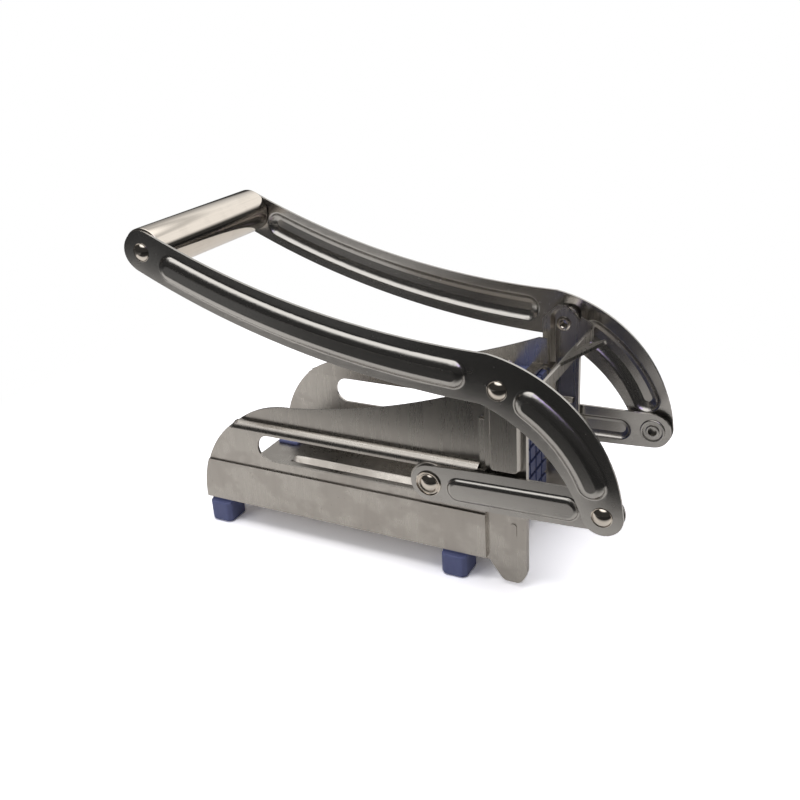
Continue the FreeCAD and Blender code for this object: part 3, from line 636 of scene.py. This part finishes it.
def span_of(piece: Piece, axis: int) -> Span:
    """Lowest and highest place of a piece along an axis.

    Args:
        piece: The piece.
        axis: 0, 1 or 2 for X, Y or Z.

    Returns:
        The two places.
    """
    places = [vertex.co[axis] for vertex in piece.data.vertices]
    return min(places), max(places)


def steps(low: float, high: float, step: float) -> list[float]:
    """Evenly spaced places between two ends, without the ends.

    Args:
        low: The first end.
        high: The second end.
        step: Distance between places, rounded so that it divides the span.

    Returns:
        The places.
    """
    count = max(2, round((high - low) / step))
    return [low + (high - low) * i / count for i in range(1, count)]


def turned(name: str, node: str, profile: Profile, around: int = 48) -> Piece:
    """Turned piece about an axis across the dicer, made by extruding a profile and spinning it.

    Args:
        name: Name of the piece.
        node: The node through whose middle the axis runs.
        profile: Radii with their Y, from one end to the other.
        around: Number of steps round the axis.

    Returns:
        The piece.
    """
    bpy.ops.object.select_all(action="DESELECT")
    low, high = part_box(node)
    axis_point = Vector(((low[0] + high[0]) / 2, 0.0, (low[2] + high[2]) / 2))
    first = axis_point + Vector((0.0, profile[0][1], profile[0][0]))
    bpy.ops.mesh.primitive_plane_add(size=MM, location=first)
    piece = bpy.context.object
    piece.name = name
    piece.data.name = name
    bpy.ops.object.transform_apply(location=True, rotation=True, scale=True)
    with editing(piece):
        bpy.ops.mesh.merge(type="CENTER")
        for (radius, across), (old_radius, old_across) in zip(profile[1:], profile):
            step = (0.0, across - old_across, radius - old_radius)
            bpy.ops.mesh.extrude_region_move(TRANSFORM_OT_translate={"value": step})
        bpy.ops.mesh.select_all(action="SELECT")
        bpy.ops.mesh.spin(steps=around, angle=math.tau, center=axis_point, axis=(0.0, 1.0, 0.0))
        bpy.ops.mesh.select_all(action="SELECT")
        bpy.ops.mesh.remove_doubles(threshold=WELD)
        bpy.ops.mesh.normals_make_consistent(inside=False)
    only(piece)
    bpy.ops.object.shade_smooth_by_angle(angle=math.radians(TURNED_WITHIN))
    return piece


def mirrored_pair(piece: Piece) -> Piece:
    """Joins a right-hand piece with its mirror image.

    Args:
        piece: The right-hand piece.

    Returns:
        The piece, which now holds both.
    """
    only(piece)
    bpy.ops.object.duplicate(linked=False)
    twin = bpy.context.object
    with editing(twin):
        bpy.ops.transform.mirror(constraint_axis=(False, True, False),
                                 center_override=(0.0, 0.0, 0.0))
        bpy.ops.mesh.flip_normals()
    only(piece)
    twin.select_set(True)
    bpy.ops.object.join()
    return piece


def reach_of(node: str) -> Span:
    """How far the faces of a node on one side lie from the middle plane.

    Args:
        node: Name of the node.

    Returns:
        The nearest and the farthest distance in metres.
    """
    low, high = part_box(node)
    near, far = sorted((abs(low[1]), abs(high[1])))
    return near, far


def outline(radius: float, across: float, offsets: tuple[tuple[float, float], ...]) -> Profile:
    """Part of a turned profile, drawn from one point.

    Args:
        radius: Radius of that point.
        across: Y of that point.
        offsets: Distances from it in radius and Y, in millimetres.

    Returns:
        Radii with their Y.
    """
    return [(radius + out * MM, across + up * MM) for out, up in offsets]


def both_ends(right: Profile) -> Profile:
    """Profile that is the same at both ends.

    Args:
        right: Its right-hand half, outwards.

    Returns:
        The whole, from the left end to the right.
    """
    return [(radius, -across) for radius, across in reversed(right)] + right


@dataclass(frozen=True)
class Head:
    """Rounded head of a rivet or rod, with its rolled rim in millimetres past its radius."""

    radius: float
    rise: float
    shank: float = 3.0 * MM
    points: int = 9
    rim: tuple = ((0.55, -0.3), (0.5, 0.05), (0.3, 0.2), (0.05, 0.12))

    def dome(self, top: float) -> Profile:
        """Profile from the rim to the middle.

        Args:
            top: Y of the middle.

        Returns:
            Radii with their Y.
        """
        ball = (self.radius ** 2 + self.rise ** 2) / (2 * self.rise)
        reach = math.asin(self.radius / ball)
        angles = [reach * (1 - point / (self.points - 1)) for point in range(self.points - 1)]
        dome = [(ball * math.sin(a), top - ball * (1 - math.cos(a))) for a in angles]
        return [*outline(self.radius, top - self.rise, self.rim), *dome, (0.0, top)]

    def on_shank(self, top: float) -> Profile:
        """Profile from the shank below the head to its middle.

        Args:
            top: Y of the middle.

        Returns:
            Radii with their Y.
        """
        return [(self.shank, top - self.rise), *self.dome(top)]


RIVET = Head(4.6 * MM, 2.2 * MM)
AXLE = Head(4.7 * MM, 2.1 * MM)


@dataclass(frozen=True)
class Pressing:
    """Sizes of a rib that is pressed out of a sheet, of its bends and of its domed top.

    The slopes are the rise over the run of the dome's bands, from the rim to the middle.
    """

    rise: float
    clear: float
    crown_round: float
    foot_round: float
    edge_round: float
    dome_step: float
    dome_slopes: tuple[float, ...]

    def sheet(self, node: str, name: str) -> Piece:
        """Copies a ribbed sheet and rounds its rib and its edges.

        Args:
            node: The sheet's node.
            name: Name of the new piece.

        Returns:
            The new piece.
        """
        piece = copy_node(node, name)
        level = reach_of(node)[1] - self.rise + self.clear
        round_pressing(piece, level, self.crown_round, self.foot_round)
        self.dome(piece, level)
        soften(piece, self.edge_round)
        return piece

    def dome(self, piece: Piece, level: float) -> None:
        """Domes the flat top of the rib, outside and in its hollow alike.

        Args:
            piece: The sheet.
            level: Distance from the middle plane past which the rib's top lies.
        """
        for sign in (-1, 1):
            picked = [face.index for face in piece.data.polygons
                      if abs(face.normal.y) > FLAT and face.center.y * sign > level]
            if picked:
                with editing(piece, "FACE", picked):
                    for slope in self.dome_slopes:
                        rise = sign * self.dome_step * slope
                        bpy.ops.mesh.inset(thickness=self.dome_step, use_even_offset=True)
                        bpy.ops.transform.translate(value=(0.0, rise, 0.0))


# ---- sub-assemblies


@dataclass
class Assembly:
    """Pieces that ride on one body."""

    finishes: dict[str, bpy.types.Material]
    body: ClassVar[str]

    def dress(self, piece: Piece, slot: str) -> None:
        """Gives a piece one finish.

        Args:
            piece: The piece.
            slot: The record's material slot.
        """
        piece.data.materials.clear()
        piece.data.materials.append(self.finishes[slot])

    def finish(self, piece: Piece, slot: str, node: str) -> None:
        """Dresses a piece and ties it to the body.

        Args:
            piece: The finished piece.
            slot: The record's material slot.
            node: The node that it stands for.
        """
        self.dress(piece, slot)
        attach(piece, self.body)
        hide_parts(node)
        log.info("piece %s on %s with %d faces", piece.name, self.body, len(piece.data.polygons))


@dataclass
class Handle(Assembly):
    """Two pressed arms with a grip tube, its tie rod and the front rivets."""

    body: ClassVar[str] = "handle"
    rib: Pressing = Pressing(
        rise=2.8 * MM, clear=0.6 * MM, crown_round=2.6 * MM, foot_round=0.8 * MM,
        edge_round=0.3 * MM, dome_step=0.55 * MM, dome_slopes=(0.27, 0.20, 0.13, 0.06))
    sheet: float = 1.5 * MM
    slices: float = 4.0 * MM
    tube_wall: float = 1.3 * MM
    tube_roll: float = 0.5 * MM
    tube_steps: int = 96
    plug_round: float = 0.2 * MM

    def build(self) -> None:
        """Builds the lever's pieces."""
        for side in Side:
            node = f"{side.word}_lever_arm"
            piece = self.rib.sheet(node, f"{side.word}_arm_sheet")
            self.swell(piece, side)
            self.finish(piece, "arm_steel", node)
        self.grip()
        self.plugs()
        self.heads()

    def swell(self, piece: Piece, side: Side) -> None:
        """Bows an arm's sheet outwards along its middle, as pressing leaves it.

        Args:
            piece: The arm.
            side: The arm's side.
        """
        rear, front = span_of(piece, 0)
        columns = steps(rear, front, self.slices)
        slice_sheet(piece, 2, steps(*span_of(piece, 2), self.slices))
        slice_sheet(piece, 0, columns)
        edges = []
        for column in columns:
            heights = [v.co.z for v in piece.data.vertices if abs(v.co.x - column) < NEAR]
            edges.append((min(heights), max(heights)))
        for vertex in piece.data.vertices:
            place = (vertex.co.x - columns[0]) / (columns[1] - columns[0])
            before = min(max(int(place), 0), len(edges) - 2)
            share = min(max(place - before, 0.0), 1.0)
            low, high = (here * (1 - share) + there * share
                         for here, there in zip(edges[before], edges[before + 1]))
            off = min(1.0, abs(2 * vertex.co.z - low - high) / (high - low))
            vertex.co.y += side.value * BOW * (1 - off ** 2)
        piece.data.update()
        even_shading(piece)

    def grip(self) -> None:
        """Grip tube with rolled ends."""
        low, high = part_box("grip_tube")
        radius, half = (high[2] - low[2]) / 2, high[1]
        roll = self.tube_roll
        quarter = [(radius - roll * (1 - math.cos(a)), half - roll * (1 - math.sin(a)))
                   for a in (math.pi * part / 8 for part in range(5))]
        profile = both_ends(quarter + [(radius - self.tube_wall, half)])
        piece = turned("grip_tube_rolled", "grip_tube", profile + profile[:1], self.tube_steps)
        self.finish(piece, "polished_steel", "grip_tube")

    def plugs(self) -> None:
        """Plugs in the tube's ends."""
        piece = copy_node("grip_caps", "grip_plugs")
        soften(piece, self.plug_round)
        self.finish(piece, "grip_plug", "grip_caps")

    def heads(self) -> None:
        """Tie rod and front rivets with domed heads."""
        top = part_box("grip_tie_rod")[1][1] + BOW
        rod = turned("tie_rod_with_heads", "grip_tie_rod", both_ends(RIVET.on_shank(top)))
        self.finish(rod, "polished_steel", "grip_tie_rod")
        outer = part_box("front_rivets")[1][1]
        end = outer - RIVET.rise - self.sheet
        rivet = turned("front_rivet_heads", "front_rivets",
                       [(0.0, end), (RIVET.shank, end), *RIVET.on_shank(outer + BOW)])
        self.finish(mirrored_pair(rivet), "polished_steel", "front_rivets")


@dataclass
class Linkage(Assembly):
    """One side's pressed link with its flanged eyelet."""

    side: Side
    rib: Pressing = Pressing(
        rise=1.8 * MM, clear=0.25 * MM, crown_round=1.5 * MM, foot_round=0.7 * MM,
        edge_round=0.28 * MM, dome_step=0.7 * MM, dome_slopes=(0.22, 0.16, 0.10, 0.05))
    barrel: float = 3.5 * MM
    lip: float = 3.2 * MM
    bore: float = 2.2 * MM
    bore_depth: float = 0.9 * MM
    flange_thick: float = 1.0 * MM
    flange_back: float = 1.8 * MM
    flange_step: float = 1.2 * MM
    flange_edge: float = 0.15 * MM
    bore_mouth: tuple = ((0.0, 0.5), (0.25, 0.1))
    lip_ring: tuple = ((0.0, 0.0), (0.4, 0.15), (0.6, 0.85))
    flange_ring: tuple = ((-1.7, 0.9), (-1.4, 0.3), (-0.8, 0.05), (-0.25, 0.2), (0.0, 0.6))

    @property
    def body(self) -> str:
        """The side's own body."""
        return f"{self.side.word}_linkage"

    def build(self) -> None:
        """Builds the link and its eyelet."""
        node = f"{self.side.word}_link"
        self.finish(self.rib.sheet(node, f"{node}_sheet"), "arm_steel", node)
        self.eyelet()

    def eyelet(self) -> None:
        """Rolled eyelet: a flange on each face and a deep bore with a ringed lip."""
        node = f"{self.side.word}_link_eyelet"
        low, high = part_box(node)
        near, far = reach_of(node)
        flange, floor = (high[2] - low[2]) / 2, far - self.bore_depth
        front, back = near + self.flange_thick, far - self.flange_back + self.flange_step
        profile = [(0.0, floor), (self.bore, floor), *outline(self.bore, near, self.bore_mouth),
                   *outline(self.lip, near, self.lip_ring),
                   *outline(flange, near, self.flange_ring),
                   (flange, front), (self.barrel, front), (self.barrel, back), (flange, back),
                   (flange, far - self.flange_edge), (flange - self.flange_edge, far), (0.0, far)]
        piece = turned(f"{self.side.word}_eyelet_rolled", node,
                       [(radius, self.side.value * across) for radius, across in profile])
        self.finish(piece, "arm_steel", node)


@dataclass
class Base(Assembly):
    """Trough, walls, front frame, cassette, blades, pivots and feet."""

    body: ClassVar[str] = "base"
    fold_round: float = 0.35 * MM
    tray_round: float = 0.15 * MM
    groove_across: Point = (7.4 * MM, 9.3 * MM, 15.2 * MM)
    groove_along: Span = (-86.0 * MM, 30.0 * MM)
    groove_above: float = 13.9 * MM
    groove_depth: float = 3.2 * MM
    groove_edge: float = 0.4 * MM
    groove_steps: Span = (0.8 * MM, 1.5 * MM)
    groove_fine: float = 12.0 * MM
    groove_end: float = 9.0 * MM
    cad_bend: float = 1.35 * MM
    bend_step: int = 8
    shoulder_length: float = 6.6 * MM
    shoulder_height: float = 65.5 * MM
    shoulder_leans: tuple = ((0.0, 0.0), (0.3, 40.0), (0.9, 75.0), (1.0, 90.0))
    shoulder_parts: int = 60
    lean_from: float = 68.0 * MM
    lean_in: float = 1.9 * MM
    lean_steps: Span = (5.0 * MM, 10.0 * MM)
    lean_along: Span = (-60.0 * MM, 70.0 * MM)
    panel_rise: float = 2.6 * MM
    panel_crown: float = 0.4 * MM
    panel_foot: float = 0.3 * MM
    corner_below: float = 8.0 * MM
    corner_round: float = 2.2 * MM
    corner_steps: int = 5
    post_round: float = 0.28 * MM
    rivet_back: float = 45.6 * MM
    hollow_back: tuple = ((0.0, 2.2), (1.9, 2.2), (1.9, -0.6), (2.3, -1.0), (3.2, -1.0),
                          (4.0, -0.4), (4.0, 0.0), (3.0, 0.0))
    washer_round: float = 0.2 * MM
    foot_grain: float = 0.45 * MM
    foot_passes: int = 9

    def build(self) -> None:
        """Builds the base's pieces."""
        self.sheets()
        self.frame_posts()
        self.pivots()
        self.blades()
        self.feet()

    def sheets(self) -> None:
        """Walls, tray and cassette border with eased edges."""
        for node, name in (
                ("left_side_wall", "left_wall_sheet"), ("right_side_wall", "right_wall_sheet"),
                ("base_tray", "tray_sheet"), ("cassette_frame", "cassette_border")):
            piece = copy_node(node, name)
            is_wall = node.endswith("side_wall")
            if is_wall:
                self.shoulder(piece)
            elif node == "base_tray":
                self.groove(piece)
            soften(piece, self.fold_round if is_wall else self.tray_round)
            if is_wall:
                self.lean(piece)
            self.finish(piece, "brushed_sheet", node)

    def groove(self, piece: Piece) -> None:
        """Presses a long shallow groove into the trough's floor.

        Args:
            piece: The trough.
        """
        near, deepest, far = self.groove_across
        back, front = self.groove_along
        edge, fine = self.groove_edge, self.groove_fine
        across, along = self.groove_steps
        slice_sheet(piece, 1, [near - edge, near] + steps(near, far, across) + [far, far + edge])
        slice_sheet(piece, 0, [back - edge, back] + steps(back, back + fine, along)
                    + steps(front - fine, front, along) + [front, front + edge])
        for vertex in piece.data.vertices:
            x, y, z = vertex.co
            if back < x < front and near < y < far and z > self.groove_above:
                end = min(1.0, (x - back) / self.groove_end, (front - x) / self.groove_end)
                side = (y - near) / (deepest - near) if y < deepest else (far - y) / (far - deepest)
                vertex.co.z -= self.groove_depth * math.sqrt(end * (2.0 - end)) * min(1.0, side)
        piece.data.update()

    def shoulder(self, piece: Piece) -> None:
        """Widens the long outer bend between a wall's lower panel and its shoulder.

        Args:
            piece: The wall.
        """
        side = piece.name.split("_")[0]
        sign, outer = Side[side.upper()].value, reach_of(f"{side}_side_wall")[1]
        old = self.cad_bend + NEAR
        slice_sheet(piece, 2, [
            self.shoulder_height - self.cad_bend * (1.0 - math.sin(math.radians(angle)))
            for angle in range(self.bend_step, 90, self.bend_step)])
        for vertex in piece.data.vertices:
            inward, down = outer - abs(vertex.co.y), self.shoulder_height - vertex.co.z
            if inward < old and -NEAR / 2 <= down < old:
                turn = math.atan2(self.cad_bend - down, self.cad_bend - inward)
                share = min(1.0, max(0.0, turn / math.radians(90.0)))
                inward, rise = self.shoulder_point(share)
                vertex.co.y = sign * (outer - inward)
                vertex.co.z = self.shoulder_height - self.shoulder_point(1.0)[1] + rise
        piece.data.update()

    def shoulder_point(self, share: float) -> tuple[float, float]:
        """Place along the shoulder's section, which is flattest where it leans back most.

        Args:
            share: Share of the section's length, from the wall to the ledge.

        Returns:
            Distance inward from the wall and upward from the section's foot.
        """
        inward = rise = 0.0
        length = self.shoulder_length / self.shoulder_parts
        for number in range(self.shoulder_parts):
            middle = (number + 0.5) / self.shoulder_parts
            if middle > share:
                break
            for (start, flatter), (end, steeper) in zip(self.shoulder_leans, self.shoulder_leans[1:]):
                if start <= middle < end:
                    lean = flatter + (steeper - flatter) * (middle - start) / (end - start)
            inward += length * math.sin(math.radians(lean))
            rise += length * math.cos(math.radians(lean))
        return inward, rise

    def lean(self, piece: Piece) -> None:
        """Leans the top of a wall's upper panel inwards.

        Args:
            piece: The wall.
        """
        top = span_of(piece, 2)[1]
        sign = 1 if span_of(piece, 1)[0] > 0 else -1
        upward, along = self.lean_steps
        slice_sheet(piece, 2, steps(self.lean_from, top, upward))
        slice_sheet(piece, 0, steps(*self.lean_along, along))
        for vertex in piece.data.vertices:
            over = max(0.0, vertex.co.z - self.lean_from) / (top - self.lean_from)
            vertex.co.y -= sign * self.lean_in * over ** 2
        piece.data.update()
        even_shading(piece)

    def frame_posts(self) -> None:
        """Front frame with rounded pivot panels."""
        piece = copy_node("front_frame", "front_frame_sheet")
        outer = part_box("front_frame")[1][1]
        round_pressing(piece, outer - self.panel_rise, self.panel_crown, self.panel_foot, True)
        self.corners(piece)
        soften(piece, self.post_round)
        self.finish(piece, "brushed_sheet", "front_frame")

    def corners(self, piece: Piece) -> None:
        """Rounds the low corners of the posts' outline, whose edges run across the dicer.

        Args:
            piece: The front frame.
        """
        points = piece.data.vertices
        picked = []
        for edge in piece.data.edges:
            first, second = (points[v].co for v in edge.vertices)
            span = second - first
            low = max(first.z, second.z) < self.corner_below
            if low and abs(span.y) > CROSSWISE * span.length:
                picked.append(edge.index)
        round_edges(piece, picked, self.corner_round, self.corner_steps)

    def pivots(self) -> None:
        """Pivot rivets and the washers beside the arms."""
        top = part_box("pivot_rivets")[1][1] + BOW
        rivet = turned("pivot_rivet_heads", "pivot_rivets",
                       outline(0.0, self.rivet_back, self.hollow_back) + RIVET.on_shank(top))
        self.finish(mirrored_pair(rivet), "polished_steel", "pivot_rivets")
        washers = copy_node("pivot_washers", "pivot_spacers")
        soften(washers, self.washer_round)
        self.finish(washers, "brushed_sheet", "pivot_washers")

    def blades(self) -> None:
        """Both sets of blades keep their shape and get the ground finish."""
        for node in ("upright_blades", "cross_blades"):
            self.dress(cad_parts[node], "blade_steel")

    def feet(self) -> None:
        """Moulded feet, rounded all over."""
        for node in ("rear_feet", "front_feet"):
            piece = copy_node(node, f"{node}_moulded")
            modify(piece, "REMESH", mode="VOXEL", voxel_size=self.foot_grain)
            modify(piece, "SMOOTH", factor=0.5, iterations=self.foot_passes)
            bpy.ops.object.shade_smooth()
            self.finish(piece, "foot_plastic", node)


@dataclass
class Pusher(Assembly):
    """Sliding pegged block on its folded carriage, with the axle and rollers."""

    body: ClassVar[str] = "pusher"
    peg_round: float = 1.3 * MM
    link_rib: float = 1.7 * MM
    gap: float = 0.05 * MM
    ring: tuple = ((6.9, 0.0), (6.9, 0.5), (6.5, 0.8), (6.1, 0.5), (6.0, 0.1), (5.6, 0.1))
    carriage_round: float = 0.3 * MM
    roller_round: float = 0.25 * MM

    def build(self) -> None:
        """Builds the pusher's pieces."""
        for node, name, slot, width in (
                # The pegged block's plastic is darkened as painted shade for the recess it sits in.
                ("pusher_block", "pegged_block", "pusher_plastic", self.peg_round),
                ("pusher_carriage", "carriage_sheet", "brushed_sheet", self.carriage_round),
                ("rollers", "flanged_rollers", "brushed_sheet", self.roller_round)):
            piece = copy_node(node, name)
            soften(piece, width)
            self.finish(piece, slot, node)
        self.axle()

    def axle(self) -> None:
        """Axle with a domed head and a rolled ring at each end."""
        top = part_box("pusher_axle")[1][1]
        seat = reach_of("left_link")[1] - self.link_rib - self.gap
        right = [(AXLE.shank, seat), *outline(0.0, seat, self.ring), *AXLE.dome(top)]
        rod = turned("axle_with_heads", "pusher_axle", both_ends(right))
        self.finish(rod, "polished_steel", "pusher_axle")


# ---- studio


@dataclass(frozen=True)
class Softbox:
    """One area lamp, aimed at a point of the dicer."""

    name: str
    place: Point
    size: Span
    power: float
    colour: Point = (1.0, 1.0, 1.0)
    aim: Point = (0.0, 0.0, 0.06)

    def build(self) -> None:
        """Adds the lamp, which the steel doesn't mirror."""
        lamp = bpy.data.lights.new(self.name, "AREA")
        lamp.shape = "RECTANGLE"
        lamp.size, lamp.size_y = self.size
        lamp.energy = self.power
        lamp.color = self.colour
        item = bpy.data.objects.new(self.name, lamp)
        bpy.context.scene.collection.objects.link(item)
        item.location = self.place
        way = Vector(self.aim) - Vector(self.place)
        item.rotation_euler = way.to_track_quat("-Z", "Y").to_euler()
        item.visible_glossy = False


@dataclass
class Floor:
    """Pale floor that keeps the shadow, is white where nothing stands and is a table to the steel."""

    width: float = 12.0
    drop: float = 0.0002
    colour: Colour = (0.76, 0.76, 0.78, 1.0)
    shown: Colour = (2.3, 2.3, 2.4, 1.0)
    table: Colour = (0.95, 0.93, 0.91, 1.0)
    dark_rear: Colour = (0.16, 0.16, 0.16, 1.0)
    dark_front: Colour = (0.035, 0.035, 0.035, 1.0)
    dark_behind: float = 0.38
    dark_fade: float = 0.2
    front: float = 0.218
    skew: float = 0.25
    fade: float = 0.115
    back: float = 0.5
    back_fade: float = 0.35
    side: float = 0.42
    side_fade: float = 0.2
    open_across: float = 0.13
    open_along: float = 0.22
    open_fade: float = 0.16

    def build(self) -> None:
        """Adds the floor."""
        bpy.ops.object.select_all(action="DESELECT")
        bpy.ops.mesh.primitive_plane_add(size=self.width, location=(0.0, 0.0, -self.drop))
        floor = bpy.context.object
        floor.name = "studio_floor"
        material = bpy.data.materials.new("pale_floor")
        recipe = Recipe(material)
        along, across, _ = recipe.where("Object")
        sides = along.size()
        ahead = (across - along * self.skew + self.front).ramp(0.0, self.fade)
        back = 1.0 - (across - self.back).ramp(0.0, self.back_fade)
        ends = 1.0 - (sides - self.side).ramp(0.0, self.side_fade)
        dark = recipe.blend((along + self.dark_behind).ramp(0.0, self.dark_fade),
                            self.dark_rear, self.dark_front)
        table = recipe.blend(ahead * back * ends, dark, self.table)
        colour, shown, table = (recipe.node("BsdfDiffuse", {"Color": tone})
                                for tone in (self.colour, self.shown, table))
        white = recipe.node("Emission", {"Color": WHITE, "Strength": 1.0})
        is_open = (across.size() - self.open_across).high(sides - self.open_along)
        lit = recipe.node("MixShader", {0: is_open.ramp(0.0, self.open_fade), 1: shown, 2: white})
        recipe.node_out(recipe.split("Glossy", table, recipe.split("Camera", lit, colour)))
        floor.data.materials.append(material)


@dataclass
class Room:
    """World that is white to the camera, and a dim room with a pale backdrop to the steel.

    A pair gives the ends of a smooth step along the side, depth or height of a direction.
    """

    backdrop_depth: Span = (-0.05, 0.35)
    backdrop_side: Span = (-0.75, -0.1)
    backdrop_least: float = 0.25
    backdrop_foot: Span = (0.12, 0.32)
    backdrop_top: Span = (0.62, 0.8)
    backdrop_level: float = 0.95
    ceiling: Span = (0.68, 0.84)
    ceiling_level: float = 1.45
    darkest: float = 0.035
    tint: Colour = (1.0, 0.985, 0.96, 1.0)
    strip_tint: Colour = (0.45, 0.25, 1.0, 1.0)
    strip_place: Span = (0.5, 0.28)
    strip_width: Span = (0.08, 0.3)
    strip_depth: Span = (0.02, 0.1)
    strip_foot: Span = (0.5, 0.6)
    strip_level: float = 0.9
    dim: Span = (-0.1, 0.9)
    dim_level: float = 0.34

    def build(self) -> None:
        """Adds the world."""
        world = bpy.data.worlds.new("studio_room")
        bpy.context.scene.world = world
        recipe = Recipe(world)
        side, depth, height = recipe.where("Generated")
        beside, ahead = self.strip_place
        behind = depth.ramp(*self.backdrop_depth) * (
            side.ramp(*self.backdrop_side) * (1.0 - self.backdrop_least) + self.backdrop_least)
        backdrop = behind * height.ramp(*self.backdrop_foot) * (1.0 - height.ramp(*self.backdrop_top))
        ceiling = height.ramp(*self.ceiling)
        level = backdrop * self.backdrop_level + ceiling * self.ceiling_level + self.darkest
        strip = ((1.0 - (side - beside).size().ramp(*self.strip_width))
                 * (1.0 - (depth + ahead).size().ramp(*self.strip_depth))
                 * height.ramp(*self.strip_foot))
        tint = recipe.blend(strip, self.tint, self.strip_tint)
        room, dim, white = (
            recipe.node("Background", {"Color": colour, "Strength": strength})
            for colour, strength in ((tint, level + strip * self.strip_level),
                                     (WHITE, height.ramp(*self.dim) * self.dim_level),
                                     (WHITE, 1.0)))
        recipe.node_out(recipe.split("Camera", white, recipe.split("Glossy", room, dim)), "OutputWorld")


@dataclass
class Studio:
    """Floor, room, soft lamps and the camera."""

    azimuth: float = 28.73
    elevation: float = 23.95
    roll: float = -3.71
    eye: Point = (0.2274, -0.4187, 0.2849)
    lens: float = 42.67

    def build(self) -> None:
        """Builds the whole studio."""
        bpy.context.scene.view_settings.view_transform = "Standard"
        Floor().build()
        Room().build()
        self.lamps()
        self.camera()

    def lamps(self) -> None:
        """Large soft lamps above and beside the dicer."""
        for box in (
                Softbox("overhead_softbox", place=(-0.1, 0.0, 1.0), size=(0.9, 0.8), power=5.4,
                        colour=(1.0, 0.985, 0.96)),
                Softbox("side_softbox", place=(-0.45, -0.75, 0.4), size=(0.45, 0.45), power=1.0)):
            box.build()

    def camera(self) -> None:
        """Camera at the viewing angle, without shift or depth of field."""
        az, el, roll = (math.radians(a) for a in (self.azimuth, self.elevation, self.roll))
        ahead = Vector((-math.sin(az) * math.cos(el), math.cos(az) * math.cos(el), -math.sin(el)))
        right = Vector((math.cos(az), math.sin(az), 0.0))
        up = right.cross(ahead)
        across = math.cos(roll) * right + math.sin(roll) * up
        above = -math.sin(roll) * right + math.cos(roll) * up
        data = bpy.data.cameras.new("studio_camera")
        data.lens = self.lens
        data.clip_start = 0.01
        camera = bpy.data.objects.new("studio_camera", data)
        bpy.context.scene.collection.objects.link(camera)
        turn = Matrix((across, above, -ahead)).transposed().to_4x4()
        camera.matrix_world = Matrix.Translation(self.eye) @ turn
        bpy.context.scene.camera = camera


def main() -> None:
    """Builds the dicer and its studio in order."""
    logging.basicConfig(level=logging.INFO, format="%(name)s: %(message)s")
    finishes = {slot: finish.make() for slot, finish in FINISHES.items()}
    Base(finishes).build()
    Pusher(finishes).build()
    for side in Side:
        Linkage(finishes, side).build()
    Handle(finishes).build()
    Studio().build()


if __name__ == "__main__":
    main()
